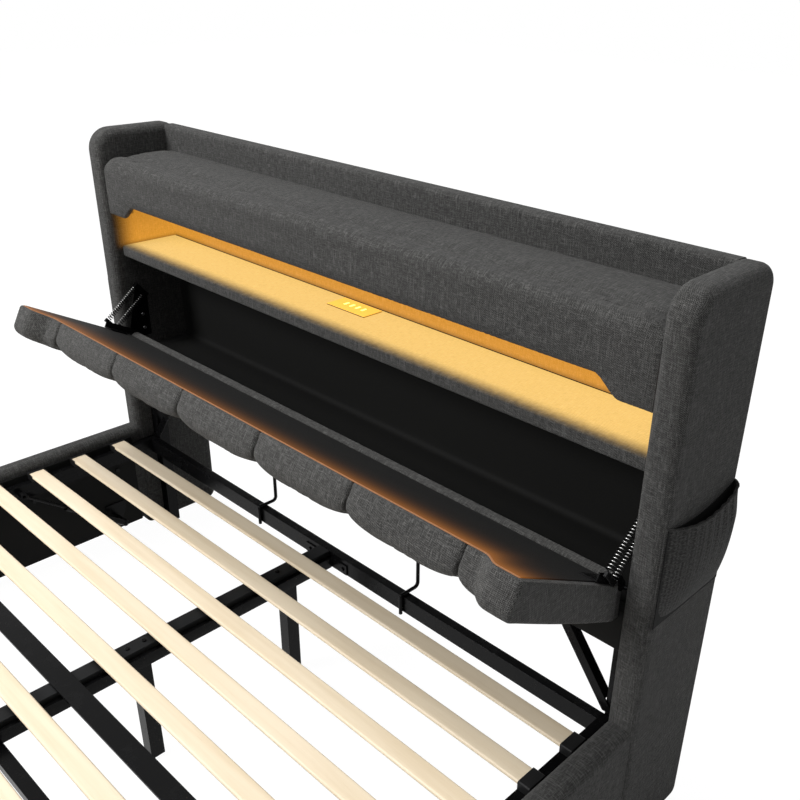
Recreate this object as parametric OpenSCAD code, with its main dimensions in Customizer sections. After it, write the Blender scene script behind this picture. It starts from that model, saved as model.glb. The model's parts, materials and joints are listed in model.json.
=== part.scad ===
// Upholstered lift-up storage bed with a box headboard.
// The headboard holds a lit niche, a storage box behind a sprung padded flap
// that opens downwards, and a pocket on each side. The slatted frame turns up
// about its head end on two gas struts. The rest pose has the flap open and
// the slatted frame down.
// Millimetres, +Z up. The origin is on the floor under the middle of the bed,
// the headboard is at +Y and the foot at -Y.

/* [Mattress] */
// Width of the mattress
mattress_w = 1524; // [1370:1:1830]
// Length of the mattress
mattress_l = 2032; // [1900:1:2130]
// Room left at each side of the mattress
room_side = 7; // [4:0.5:15]
// Room left at the ends of the mattress, both together
room_end = 8; // [4:0.5:30]

/* [Headboard] */
// Height of the headboard
head_h = 1086; // [1060:1:1160]
// Depth of the headboard
head_d = 215; // [200:1:260]
// Thickness of a wing at the side of the headboard
wing_t = 51; // [40:1:60]
// Radius of a wing's upper front corner
wing_front_r = 45; // [30:1:48]
// Radius of a wing's rear corners
wing_rear_r = 28; // [15:1:40]
// How far the padding rounds a panel's edges
soft_r = 7; // [4:0.5:9]
// Thickness of the back panel
back_t = 33; // [25:1:38]
// Height of the gap below the back panel
back_gap_z = 437; // [420:1:455]

/* [Ledge and lit niche] */
// How far the ledge's padded top lies below the wings' top
ledge_down = 57; // [46:1:70]
// Thickness of the padding on the ledge
ledge_pad_t = 20; // [12:1:24]
// Thickness of the padding on the valance
valance_pad_t = 14; // [10:1:16]
// Height of the valance from its lower edge between its ears to the ledge's top
valance_h = 105; // [90:1:114]
// How far the valance's ears drop below that edge
ear_drop = 31; // [22:1:34]
// Thickness of the ledge's boards
ledge_board_t = 18; // [12:1:20]
// Height of the shelf's upper face
shelf_z = 811; // [800:1:825]
// Thickness of the shelf
shelf_t = 26; // [18:1:30]
// How far the shelf's front edge lies behind the wings' front
shelf_front = 28; // [28:1:34]
// Width of the light strip under the ledge
led_w = 12; // [8:1:16]

/* [Charging panel] */
// Length of the charging panel's cover
panel_l = 116; // [90:1:140]
// Depth of the charging panel's cover
panel_d = 52; // [40:1:60]
// Height of the cover above the shelf
panel_h = 3; // [2:0.5:5]
// Distance of the panel's middle from the middle of the bed
panel_x = -32; // [-200:1:200]
// Distance from one charging slot to the next
slot_pitch = 18; // [14:0.5:22]

/* [Storage box] */
// Height of the storage box's floor
box_z = 539; // [532:1:545]
// Thickness of the storage box's floor
box_floor_t = 18; // [12:1:22]
// Radius of the rounded lip that the flap turns about
lip_r = 15; // [12:0.5:16]
// Thickness of the apron below the storage box
apron_t = 14; // [12:1:17]

/* [Flap] */
// Length of the flap from its hinge end to its free edge
flap_l = 262; // [250:1:266]
// How much longer the flap is at its ears
flap_ear = 30; // [24:1:34]
// Distance from one seam to the next across the flap
seam_pitch = 250; // [236:1:256]
// Thickness of the flap at its seams
flap_seam_t = 50; // [42:1:56]
// Thickness of the flap between its seams
flap_crown_t = 68; // [60:1:74]
// Angle of the open flap above the horizontal
flap_tilt = 29; // [26:0.5:32]
// Thickness of the board in the flap
flap_board_t = 14; // [10:1:18]
// Thickness of the lining on the flap's inner face
flap_liner_t = 2; // [1:0.5:2.5]

/* [Flap hinge and springs] */
// Diameter of the flap's hinge pins
flap_pin_d = 8; // [6:0.5:10]
// Height of the spring's upper pivot above the flap's hinge axis
spring_rise = 119.5; // [112:0.5:124]
// Distance of the spring's upper pivot behind the flap's hinge axis
spring_back = 34; // [28:0.5:40]
// Distance of the spring's lower pivot from the flap's hinge end
spring_foot_u = 52; // [44:1:58]
// Height of the spring's lower pivot above the flap's inner face
spring_foot_h = 10; // [9:0.5:14]
// Distance between the two springs of a pair
spring_pitch = 32; // [26:1:36]
// Mean diameter of a spring's coils
coil_d = 10.4; // [8:0.2:10.8]
// Diameter of a spring's wire
wire_d = 1.6; // [1.2:0.1:1.8]
// Coils in one spring
coils = 12; // [10:1:12]

/* [Slatted frame] */
// Height of the frame's upper face
frame_z = 278; // [270:1:284]
// Height of the frame's tubes
tube_h = 38; // [30:1:40]
// Width of the frame's tubes
tube_w = 18; // [15:1:20]
// Wall of the frame's tubes
tube_wall = 1.5; // [1:0.25:2]
// Distance from the wings' front back to the frame's head end
frame_in = 40; // [34:1:42]
// Depth of the head tube and the foot tube
end_tube_d = 20; // [16:1:24]
// Clearance between the frame and the bed's sides
frame_gap = 12; // [11:0.5:16]
// Width of a slat
slat_w = 40; // [35:1:50]
// Thickness of a slat
slat_t = 9; // [7:0.5:10]
// Rise of a slat's bow at its middle
slat_rise = 5; // [2:0.5:8]
// Distance from one slat to the next
slat_pitch = 112.5; // [100:0.5:116]
// Distance from the wings' front to the first slat
slat_first = 68; // [60:1:80]
// Distance from a cross bar to the slat on each side of it
bar_pitch = 82; // [70:1:90]
// Slats between one cross bar and the next
slats_per_bay = 5; // [4:1:5]
// Width of the centre rail
rail_w = 40; // [34:1:50]
// Height of the centre rail
rail_h = 26; // [20:1:28]
// Side of a square leg
leg_w = 30; // [25:1:36]
// Diameter of the mattress retainer's wire
retainer_d = 8; // [6:0.5:9]
// Distance between the retainer's two uprights
retainer_w = 490; // [400:5:600]
// Height of the retainer's top above the floor
retainer_z = 408; // [380:1:412]

/* [Rails and foot] */
// Height of the side rails' upper face
side_z = 311; // [300:1:330]
// Height of the rails above the floor
side_gap = 30; // [20:1:45]
// Radius of the rails' upper edges
side_r = 20; // [10:1:24]
// Thickness of the rails' inner lining
liner_t = 3; // [2:0.5:4]
// Thickness of the footboard
foot_t = 51; // [40:1:60]
// Side of a square post under the headboard
post_w = 30; // [25:1:30]

/* [Lift] */
// Angle through which the slatted frame lifts
lift_angle = 40; // [30:1:40]
// Diameter of the lift's hinge pins
lift_pin_d = 10; // [8:0.5:12]
// Distance from the wings' front to a strut's lower pivot
strut_low_y = 100; // [90:1:120]
// Height of a strut's lower pivot
strut_low_z = 70; // [60:1:95]
// Distance from the lift's hinge axis to a strut's upper pivot
strut_arm = 350; // [330:1:380]
// Diameter of a strut's cylinder
strut_d = 18; // [15:0.5:22]
// Diameter of a strut's rod
rod_d = 8; // [6:0.5:10]

/* [Side pockets] */
// Height of a pocket's lower edge
pocket_low_z = 535; // [520:1:560]
// Height of a pocket's upper corners
pocket_high_z = 728; // [700:1:760]
// How far a pocket stands out from its wing
pocket_out = 22; // [14:1:30]
// Thickness of a pocket's cloth
pocket_t = 3; // [2:0.5:4]

/* [Clearances] */
// Clearance round a turning pin
run_gap = 0.05; // [0.03:0.01:0.1]
// Clearance between a soft piece and its neighbours
soft_gap = 0.4; // [0.3:0.1:1]
// Clearance between the lip and the flap's hinge end
flap_gap = 1.5; // [1:0.1:2]
// Clearance between a side of the flap and a wing
flap_side_gap = 12; // [9:0.5:15]
// Clearance between a slat's sides and its end cap
slat_gap = 0.3; // [0.2:0.1:0.5]

/* [Hidden] */
$fn = 48;

cloth = "#3b3c3e";
flap_cloth = "#565759";
lining = "#1c1c1d";
black_steel = "#18191a";
bright_steel = "#a8aaad";
birch = "#d9cbb4";
board = "#b79a70";
light = "#f4c25a";

// The inner width and length, and the whole bed's
inner_x = mattress_w / 2 + room_side;
half_w = inner_x + wing_t;
rail_l = mattress_l + room_end;
// The wings' front faces lie at this Y, with the whole bed centred on the origin
head_y = (rail_l + foot_t - head_d) / 2;

// Places in the headboard, measured back from the wings' front
back_y = head_d - back_t;
ledge_z = head_h - ledge_down;
valance_z = ledge_z - valance_h;
valance_y = valance_pad_t - 6;
ledge_board_z = ledge_z - ledge_pad_t - ledge_board_t;
ear_in = 58;
ear_l = 52;
ledge_ear_x = inner_x - ear_in - ear_l;
hinge_y = 22;
lip_top_z = box_z + 48.5;
hinge_z = lip_top_z - lip_r;
lip_y = hinge_y - lip_r;
lip_back_y = shelf_front;
lip_low_z = box_z - box_floor_t - 16;
lip_end_x = inner_x - 21;
lining_t = 2;
panel_y = shelf_front + 92;
slot_w = 5;
slot_l = 14;
socket_depth = 12;

// The flap is drawn lying flat, with its inner face up, its hinge end at y = 0
// and its free edge at -y, and is turned up by its tilt
flap_half = inner_x - flap_side_gap;
flap_closed_y = shelf_front - 2;
flap_end_y = hinge_y - lip_r - flap_gap;
flap_end_z = hinge_z + (flap_closed_y - hinge_y + (lip_r + flap_gap) * sin(flap_tilt)) / cos(flap_tilt);
seam_n = 3;
seams = [for (i = [0:seam_n - 1]) seam_pitch * (i + 0.5)];
flap_ear_x = flap_half - 99;
flap_ear_l = 50;
flap_edge_r = 8;
flap_front_r = 24;
flap_side_r = 10;
board_in = 22;
board_rear = 3;
// Where the hinge axis lies in the flap's own frame
axis_u = (hinge_y - flap_end_y) * cos(flap_tilt) - (hinge_z - flap_end_z) * sin(flap_tilt);
axis_h = (hinge_y - flap_end_y) * sin(flap_tilt) + (hinge_z - flap_end_z) * cos(flap_tilt);

// The flap's hinge plate, arm and springs, as distances from the middle of the bed
plate_t = 3;
spring_x = inner_x - 10;
yoke_t = 12;
arm_t = 2.5;
arm_x = spring_x - yoke_t / 2 - arm_t - 1;
screw_head_h = 2;
// The springs' foot lies between the pad's side and the heads of the plate's screws
foot_in_x = flap_half + soft_gap;
foot_out_x = inner_x - plate_t - screw_head_h - 0.5;
spring_top_y = hinge_y + spring_back;
spring_top_z = hinge_z + spring_rise;
foot_y = flap_end_y - spring_foot_u * cos(flap_tilt) + spring_foot_h * sin(flap_tilt);
foot_z = flap_end_z + spring_foot_u * sin(flap_tilt) + spring_foot_h * cos(flap_tilt);
spring_l = norm([spring_top_y - foot_y, spring_top_z - foot_z]);
spring_angle = atan2(spring_top_z - foot_z, spring_top_y - foot_y);
yoke_d = 12;
spring_foot_d = 10;
yoke_w = spring_pitch + coil_d + wire_d;
coil_l = spring_l - yoke_d / 2 - spring_foot_d / 2;

// The slatted frame
frame_x = inner_x - frame_gap;
frame_low_z = frame_z - tube_h;
frame_foot = rail_l - 26;
strip_w = 34;
strip_h = 12;
strip_x = -7;
rail_z = frame_z - strip_h - rail_h;
tee_w = 140;
tee_t = 3;
tee_bolt_x = 57;
bar_t = 5;
low_bar_w = 25;
low_bar_h = 20;
cap_l = 24;
cap_wall = 1.5;
cap_floor = 6;
cap_lip = 6;
cap_r = 4;
bow_room = 0.6;
cap_x = inner_x - 6;
cap_w = slat_w + 2 * (slat_gap + cap_wall);
slat_x = cap_x - cap_wall - slat_gap;
slat_z = frame_z + cap_floor + slat_gap;
cap_h = cap_floor + slat_gap + slat_t + bow_room + cap_wall;
bay_l = (slats_per_bay - 1) * slat_pitch + 2 * bar_pitch;
leg_at = [95, 453, 1150, rail_l - 140];
low_bar_at = [742, rail_l - 480];
leg_bolt = 18;
bolt_d = 9;
bolt_h = 3;

// The posts and braces under the headboard
post_z = box_z - box_floor_t;
brace_w = 20;
brace_t = 3;
// The braces' front legs lie flat between the apron's back and the posts, clear of the lifted frame's end
post_y = lip_back_y + apron_t + brace_t;
brace_foot = [inner_x - 18.5, side_z - 35.5];
brace_top = [inner_x - 170.5, post_z - 50];

// The lift
lift_y = 0;
lift_z = frame_z - tube_h / 2;
lift_plate_t = 4;
plate_r = 17;
lift_plate_x = inner_x - 2 - lift_plate_t;
strut_x = inner_x - 47;
strut_eye_d = 18;
strut_eye_w = 10;
strut_weld = 2.5;
strut_pin_d = 8;
strut_high_y = lift_y - strut_arm;
strut_len = norm([strut_high_y + strut_low_y, lift_z - strut_low_z]);
strut_angle = atan2(lift_z - strut_low_z, strut_high_y + strut_low_y);
// The strut's length with the frame lifted, and a body that holds its stroke, piston and end walls
strut_open = norm([strut_low_y - strut_arm * cos(lift_angle), lift_z + strut_arm * sin(lift_angle) - strut_low_z]);
strut_body = strut_open - strut_len + 57;
strut_bore = 12;
piston_d = 11.8;
rod_in = 32;

// Helper shapes

// Puts what follows in the headboard's frame: y = 0 at the wings' front
module at_head() translate([0, head_y, 0]) children();

// Draws on the right for s = 1 and on the left for s = -1
module side(s) {
    if (s > 0) children();
    else mirror([1, 0, 0]) children();
}

module both() {
    side(1) children();
    side(-1) children();
}

// A box given by its lowest and highest corners
module span(low, high) translate(low) cube(high - low);

// A straight pin along X from x0 to x1
module pin_x(d, x0, x1, y, z) translate([x0, y, z]) rotate([0, 90, 0]) cylinder(d = d, h = x1 - x0);

// A square corner less its quarter circle, at the origin, opening to +x +y
module corner_waste(r) difference() {
    translate([-1, -1]) square(r + 1);
    translate([r, r]) circle(r);
}

// A rectangle with a radius for each corner: low-left, low-right, top-right, top-left
module round_rect(w, h, r) difference() {
    square([w, h]);
    if (r[0] > 0) corner_waste(r[0]);
    if (r[1] > 0) translate([w, 0]) mirror([1, 0]) corner_waste(r[1]);
    if (r[2] > 0) translate([w, h]) mirror([1, 0]) mirror([0, 1]) corner_waste(r[2]);
    if (r[3] > 0) translate([0, h]) mirror([0, 1]) corner_waste(r[3]);
}

// A hollow rectangular tube along Y from y0 to y1, its section at x and z
module tube_y(x, z, w, h, y0, y1) difference() {
    span([x, y0, z], [x + w, y1, z + h]);
    span([x + tube_wall, y0 - 1, z + tube_wall], [x + w - tube_wall, y1 + 1, z + h - tube_wall]);
}

// A panel with softly rounded edges: the profile is drawn by profile(inset) in YZ
// and the panel is t thick along +X
module soft_panel(t) hull() {
    for (k = [[0, 1], [0.3, 0.32], [1, 0]])
        translate([soft_r * k[0], 0, 0]) rotate([90, 0, 90])
            linear_extrude(t - 2 * soft_r * k[0]) wing_profile(soft_r * k[1]);
}

// Rings of points joined into one closed skin. The flat ends are zipped across
// where the ring is slim and has an even count of points, and otherwise one face
module loft(rings, slim = false) {
    n = len(rings[0]);
    m = len(rings);
    points = [for (ring = rings) each ring];
    sides = [for (j = [0:m - 2]) for (i = [0:n - 1]) for (half = [0, 1])
        half == 0
            ? [j * n + i, j * n + (i + 1) % n, (j + 1) * n + i]
            : [j * n + (i + 1) % n, (j + 1) * n + (i + 1) % n, (j + 1) * n + i]];
    zip = [for (i = [0:n / 2 - 2]) each [[i, n - 1 - i, i + 1], [i + 1, n - 1 - i, n - 2 - i]]];
    first = slim ? zip : [[for (i = [n - 1:-1:0]) i]];
    last = slim
        ? [for (f = zip) [for (i = [2, 1, 0]) (m - 1) * n + f[i]]]
        : [[for (i = [0:n - 1]) (m - 1) * n + i]];
    polyhedron(points = points, faces = concat(first, sides, last), convexity = 8);
}

function smooth(t) = t <= 0 ? 0 : t >= 1 ? 1 : t * t * (3 - 2 * t);
function arc(c, r, a0, a1, n) = [for (i = [0:n]) let (a = a0 + (a1 - a0) * i / n) c + r * [cos(a), sin(a)]];
function bend(p0, p1, p2, n) = [for (i = [0:n]) let (t = i / n)
    (1 - t) * (1 - t) * p0 + 2 * t * (1 - t) * p1 + t * t * p2];

// Headboard

module wing_profile(inset) translate([inset, inset]) round_rect(
    head_d - 2 * inset, head_h - 2 * inset,
    [0, wing_rear_r - inset, wing_rear_r - inset, wing_front_r - inset]);

module wing(s) color(cloth) at_head() side(s) translate([inner_x, 0, 0]) soft_panel(wing_t);
module wing_left() wing(-1);
module wing_right() wing(1);

module back_panel() color(cloth) at_head()
    span([-inner_x, back_y, back_gap_z], [inner_x, head_d, head_h - 3]);

// The ledge's top board and the valance's board, which hangs from its front edge
module ledge_board() color(board) at_head() {
    top_y = valance_y + valance_pad_t + ledge_board_t;
    span([-inner_x, top_y, ledge_board_z], [inner_x, back_y, ledge_board_z + ledge_board_t]);
    difference() {
        span([-inner_x, top_y - ledge_board_t, valance_z + 8 - ear_drop],
            [inner_x, top_y, ledge_board_z + ledge_board_t]);
        span([-ledge_ear_x - ear_l, 0, 0], [ledge_ear_x + ear_l, back_y, valance_z + 8]);
    }
}

// The lower edge of the valance's padding, with an ear at each end
function valance_low(x) = valance_z - ear_drop * smooth((abs(x) - ledge_ear_x) / ear_l);
// The ledge's top droops towards each wing
end_droop = 18;
end_round = 44;
function ledge_top(x) = ledge_z - end_droop * pow(max(0, abs(x) - inner_x + end_round) / end_round, 2);
// A section of the ledge's padding: its outer skin from the back over the top and
// down the front, and its inner skin back the same way, point for point
function ledge_section(x) = let (
        top = ledge_top(x),
        low = valance_low(x),
        front = valance_y,
        inside = valance_y + valance_pad_t,
        under = ledge_z - ledge_pad_t,
        edge_r = valance_pad_t / 2)
    concat(
        [[back_y - soft_gap, top - 1], [back_y * 0.55, top + 1], [front + 42, top - 2], [front + 28, top]],
        arc([front + 16, top - 17], 16, 80, 170, 4),
        [[front, (top + low) / 2]],
        arc([front + edge_r, low + edge_r], edge_r, 180, 360, 4),
        [[inside, (top + low) / 2]],
        [for (drop = [20, 16, 12, 8, 4, 0]) [inside, under - drop]],
        [for (y = [front + 28, front + 42, back_y * 0.55, back_y - soft_gap]) [y, under]]);

module ledge_pad() color(cloth) at_head() {
    end = inner_x - soft_gap;
    half = [
        0, 320, ledge_ear_x - 20, ledge_ear_x, ledge_ear_x + ear_l * 0.25, ledge_ear_x + ear_l * 0.5,
        ledge_ear_x + ear_l * 0.75, ledge_ear_x + ear_l, end - 30, end - 14, end - 5, end
    ];
    xs = concat([for (i = [len(half) - 1:-1:1]) -half[i]], half);
    loft([for (x = xs) [for (p = ledge_section(x)) [x, p[0], p[1]]]], slim = true);
}

module led_strip() color(light) at_head() {
    y = valance_y + valance_pad_t + ledge_board_t + 6;
    span([-inner_x + 20, y, ledge_board_z - 5], [inner_x - 20, y + led_w, ledge_board_z]);
}

module shelf() color(cloth) at_head() difference() {
    span([-inner_x, shelf_front, shelf_z - shelf_t], [inner_x, back_y - lining_t, shelf_z]);
    module_cut();
}

// The room that the charging module needs in the shelf
module module_cut() {
    y = panel_y;
    span([panel_x - panel_l / 2 + 8, y + 8, shelf_z - shelf_t - 1],
        [panel_x + panel_l / 2 - 8, y + panel_d - 8, shelf_z + 1]);
}

// The four charging sockets, from the given height up through the panel
module sockets(low_z) for (i = [0:3])
    translate([panel_x + slot_pitch * (i - 1.5), panel_y + panel_d * 0.55, low_z])
        linear_extrude(shelf_z + panel_h + 1 - low_z) square([slot_w, slot_l], center = true);

module charging_panel() color(light) at_head() difference() {
    span([panel_x - panel_l / 2, panel_y, shelf_z], [panel_x + panel_l / 2, panel_y + panel_d, shelf_z + panel_h]);
    sockets(shelf_z - 1);
}

module charging_module() color(lining) at_head() difference() {
    span([panel_x - panel_l / 2 + 9, panel_y + 9, shelf_z - shelf_t - 12],
        [panel_x + panel_l / 2 - 9, panel_y + panel_d - 9, shelf_z]);
    sockets(shelf_z - socket_depth);
}

module box_floor() color(board) at_head()
    span([-inner_x, lip_back_y, box_z - box_floor_t], [inner_x, back_y, box_z - lining_t]);

// The lining covers the box's floor and back
module box_lining() color(lining) at_head() {
    span([-inner_x, lip_back_y, box_z - lining_t], [inner_x, back_y - lining_t, box_z]);
    span([-inner_x, back_y - lining_t, box_z - lining_t], [inner_x, back_y, shelf_z]);
}

// The lip's rounded front edge is centred on the flap's hinge axis
module box_lip() color(cloth) at_head() translate([-lip_end_x, 0, 0]) rotate([90, 0, 90])
    linear_extrude(2 * lip_end_x) translate([lip_y, lip_low_z])
        round_rect(lip_back_y - lip_y, lip_top_z - lip_low_z, [0, 0, 0, lip_r]);

module apron() color(black_steel) at_head()
    span([-inner_x, lip_back_y, back_gap_z], [inner_x, lip_back_y + apron_t, box_z - box_floor_t]);

// Posts and braces

module post(s) color(black_steel) at_head() side(s) difference() {
    span([inner_x - post_w, post_y, 0], [inner_x, post_y + post_w, post_z]);
    span([inner_x - post_w + tube_wall, post_y + tube_wall, -1],
        [inner_x - tube_wall, post_y + post_w - tube_wall, post_z + 1]);
}
module post_left() post(-1);
module post_right() post(1);

// An angle iron from the post's front face up to the back of the apron
module brace(s) color(black_steel) at_head() side(s) {
    run = brace_top - brace_foot;
    length = norm(run);
    y = post_y - brace_t;
    // The second leg of the angle starts clear of the post and ends clear of the apron's edge
    clear = (brace_foot[0] - inner_x + post_w + 1) * length / -run[0] + brace_w / 2 * run[1] / -run[0];
    intersection() {
        translate([brace_foot[0], y, brace_foot[1]]) rotate([0, -atan2(run[1], run[0]), 0]) {
            span([0, 0, -brace_w / 2], [length, brace_t, brace_w / 2]);
            span([clear, brace_t, -brace_w / 2], [length - 56, brace_w, brace_t - brace_w / 2]);
        }
        span([brace_top[0] - brace_w, 0, frame_z + 2], [inner_x - 2, head_d, post_z - 4]);
    }
}
module brace_left() brace(-1);
module brace_right() brace(1);

// Flap hinge

screw_at = [[hinge_y + 36, hinge_z + 52], [hinge_y + 37, hinge_z + 15]];
liner_bolt_at = [78, 311, 1100, rail_l - 290];
liner_bolt_z = side_z - 102;

// The plate is screwed to the wing and holds the flap's pin and the spring's pin
module flap_hinge(s) color(black_steel) at_head() side(s) {
    x = inner_x - plate_t;
    difference() {
        hull() {
            pin_x(18, x, inner_x, hinge_y, hinge_z);
            pin_x(20, x, inner_x, spring_top_y - 2, spring_top_z - 2);
            span([x, hinge_y + 30, hinge_z - 6], [inner_x, hinge_y + 54, hinge_z + 100]);
        }
        for (p = screw_at) pin_x(5, x - 1, inner_x + 1, p[0], p[1]);
    }
    pin_x(flap_pin_d, arm_x - 1, x, hinge_y, hinge_z);
    pin_x(flap_pin_d, spring_x - yoke_t / 2 - 1.5, x, spring_top_y, spring_top_z);
}
module flap_hinge_left() flap_hinge(-1);
module flap_hinge_right() flap_hinge(1);

// Screws of the hinge plates, and the bolts on the rails' linings
module panel_screws() color(bright_steel) at_head() both() {
    x = inner_x - plate_t;
    for (p = screw_at) {
        pin_x(4.9, x, inner_x, p[0], p[1]);
        pin_x(9, x - screw_head_h, x, p[0], p[1]);
    }
    for (y = liner_bolt_at)
        pin_x(12, inner_x - liner_t - 3, inner_x - liner_t, -y, liner_bolt_z);
}

// Flap

// Puts what is drawn lying flat on the open flap
module on_flap() at_head() translate([0, flap_end_y, flap_end_z]) rotate([-flap_tilt, 0, 0]) children();

function flap_edge(x) = flap_l + flap_ear * smooth((abs(x) - flap_ear_x) / flap_ear_l);
// How far along its pad a point lies, 0 at a seam and 0.5 midway to the next
function lobe(x) = let (t = abs(x) / seam_pitch + 0.5) abs(x) > seams[seam_n - 1]
    ? min(0.5, (abs(x) - seams[seam_n - 1]) / 120) : t - floor(t);
function pad_t(x) = flap_seam_t + (flap_crown_t - flap_seam_t) * sqrt(1 - pow(abs(2 * lobe(x) - 1), 3));
function side_roll(x) = let (d = max(0, flap_side_r - (flap_half - abs(x))))
    flap_side_r - sqrt(flap_side_r * flap_side_r - d * d);
// A section of the pad, with the hollow that holds the board under the lining
function pad_section(x) = let (
        roll = side_roll(x),
        t = pad_t(x) - roll,
        u = flap_edge(x) - roll - (flap_crown_t - pad_t(x)) * 0.15,
        slope = tan(flap_tilt),
        low = [-slope * t + roll, t],
        top = flap_liner_t,
        far = flap_edge(x) - board_in,
        holds = abs(x) < flap_half - board_in + 0.3,
        deep = holds ? top + flap_board_t : top,
        in = holds ? 0 : 4)
    concat(
        [[roll - slope * top, top], [board_rear + 3, top], [board_rear + 3 + in, deep]],
        [[far - in, deep], [far, top]],
        arc([u - flap_edge_r, top + flap_edge_r], flap_edge_r, -90, 0, 2),
        arc([u - flap_front_r, t - flap_front_r], flap_front_r, 0, 90, 3),
        [[u * 0.55, t + 1.5], [u * 0.2, t + 1]],
        bend(low + [18, 0], low, low + 16 * [sin(flap_tilt), -cos(flap_tilt)], 3));

ear_steps = [0, 0.33, 0.67, 1];

module flap_pad() color(flap_cloth) on_flap() {
    half = concat([0, seam_pitch * 0.26],
        [for (i = [0:seam_n - 2]) for (k = [-0.08, -0.024, 0, 0.024, 0.08, 0.24, 0.5, 0.76])
            seams[i] + k * seam_pitch],
        [for (k = [-0.08, -0.024, 0, 0.024, 0.08]) seams[seam_n - 1] + k * seam_pitch],
        [for (k = ear_steps) flap_ear_x + k * flap_ear_l],
        [flap_half - board_in + 0.2, flap_half - board_in + 0.8],
        [flap_half - 9, flap_half - 3.5, flap_half]);
    xs = concat([for (i = [len(half) - 1:-1:1]) -half[i]], half);
    loft([for (x = xs) [for (p = pad_section(x)) [x, -p[0], -p[1]]]], slim = true);
}

// The board's outline follows the pad's free edge at the given distance
module board_outline(inset, rear) {
    ear = [for (k = ear_steps) [flap_ear_x + k * flap_ear_l, inset - flap_edge(flap_ear_x + k * flap_ear_l)]];
    end = flap_half - inset;
    far = inset - flap_l - flap_ear;
    polygon(concat(
        [[-end, -rear], [-end, far]],
        [for (i = [len(ear) - 1:-1:0]) [-ear[i][0], ear[i][1]]],
        ear,
        [[end, far], [end, -rear]]));
}

module flap_board() color(board) on_flap() translate([0, 0, -flap_liner_t - flap_board_t])
    linear_extrude(flap_board_t) board_outline(board_in, board_rear + 3);

module flap_liner() color(lining) on_flap() translate([0, 0, -flap_liner_t])
    linear_extrude(flap_liner_t) board_outline(board_in - 12, board_rear);

// The arm is an angle bracket on the flap's inner face, with an eye on the hinge pin
module flap_arm(s) color(black_steel) on_flap() side(s) {
    eye_d = 18;
    far = -spring_foot_u - 22;
    out = arm_x + arm_t;
    difference() {
        union() {
            span([arm_x, far, 0.1], [out, -3, 16]);
            // The link to the eye stays above the lining until it is past the pad's end
            span([arm_x, -4, 2], [out, 6, 14]);
            hull() {
                pin_x(eye_d, arm_x, out, axis_u, axis_h);
                span([arm_x, 4, 2], [out, 6, 14]);
            }
        }
        pin_x(flap_pin_d + 2 * run_gap, arm_x - 1, out + 1, axis_u, axis_h);
    }
    span([arm_x - 30, far, 0.1], [arm_x, -26, arm_t + 0.1]);
    pin_x(6, out, foot_in_x - 0.3, -spring_foot_u, spring_foot_h);
}
module flap_arm_left() flap_arm(-1);
module flap_arm_right() flap_arm(1);

// Springs

// Local -Y runs from the upper pivot to the lower one, and the springs of a pair lie apart along local Z
module along_spring(s) at_head() side(s)
    translate([spring_x, spring_top_y, spring_top_z]) rotate([spring_angle, 0, 0]) children();

module spring_yoke(s) color(black_steel) along_spring(s) difference() {
    span([-yoke_t / 2, -yoke_d / 2, -yoke_w / 2], [yoke_t / 2, yoke_d / 2, yoke_w / 2]);
    pin_x(flap_pin_d + 2 * run_gap, -yoke_t, yoke_t, 0, 0);
}
module spring_yoke_left() spring_yoke(-1);
module spring_yoke_right() spring_yoke(1);

module spring_foot(s) color(black_steel) along_spring(s) translate([0, -spring_l, 0])
    span([foot_in_x - spring_x, -spring_foot_d / 2, -yoke_w / 2], [foot_out_x - spring_x, spring_foot_d / 2, yoke_w / 2]);
module spring_foot_left() spring_foot(-1);
module spring_foot_right() spring_foot(1);

coil_steps = 8;
lead = 2 * wire_d;
// The coil's centre line: straight for a short lead at each end, wound between them
coil_rise = (coil_l - 2 * lead) / coils;
function coil_at(i) = let (a = 90 + i * 360 / coil_steps, r = coil_d / 2)
    [r * cos(a), r * sin(a), lead + coil_rise * i / coil_steps];
coil_path = concat(
    [[0, coil_d / 2, 0]],
    [for (i = [0:coils * coil_steps]) coil_at(i)],
    [[0, coil_d / 2, coil_l]]);
// The least gap of a spring to its own next coil, measured on its centre line
coil_gap = min([for (i = [0:(coils - 1) * coil_steps]) for (k = [-1:1])
    norm(coil_at(i + coil_steps + k) - coil_at(i))]) - wire_d;
echo(coil_gap = coil_gap);

// A ring of six points round the wire, square to the way from one point to the next
function wire_ring(p, q) = let (
        t = (q - p) / norm(q - p),
        out = [p[0], p[1], 0] / norm([p[0], p[1], 0]),
        a = (out - (out * t) * t) / norm(out - (out * t) * t),
        b = cross(t, a))
    [for (k = [0:5]) p + wire_d / 2 * (cos(60 * k) * a + sin(60 * k) * b)];
coil_n = len(coil_path);
coil_rings = [for (i = [0:coil_n - 1])
    i == 0 ? wire_ring(coil_path[0], coil_path[0] + [0, 0, 1])
    : i == coil_n - 1 ? wire_ring(coil_path[i], coil_path[i] + [0, 0, 1])
    : wire_ring(coil_path[i], coil_path[i] + coil_path[i + 1] - coil_path[i - 1])];

module spring_pair(s) color(bright_steel) along_spring(s)
    for (k = [-0.5, 0.5]) translate([0, -yoke_d / 2, k * spring_pitch]) rotate([90, 0, 0]) loft(coil_rings);
module spring_pair_left() spring_pair(-1);
module spring_pair_right() spring_pair(1);

// Rails and foot

module rail_profile() round_rect(wing_t, side_z - side_gap, [6, 6, side_r, side_r]);

module side_rail(s) color(cloth) at_head() side(s)
    translate([inner_x, 0, side_gap]) rotate([90, 0, 0]) linear_extrude(rail_l) rail_profile();
module side_rail_left() side_rail(-1);
module side_rail_right() side_rail(1);

module rail_liner(s) color(lining) at_head() side(s)
    span([inner_x - liner_t, -rail_l, side_gap + 1], [inner_x, -25, side_z - side_r]);
module rail_liner_left() rail_liner(-1);
module rail_liner_right() rail_liner(1);

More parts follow.
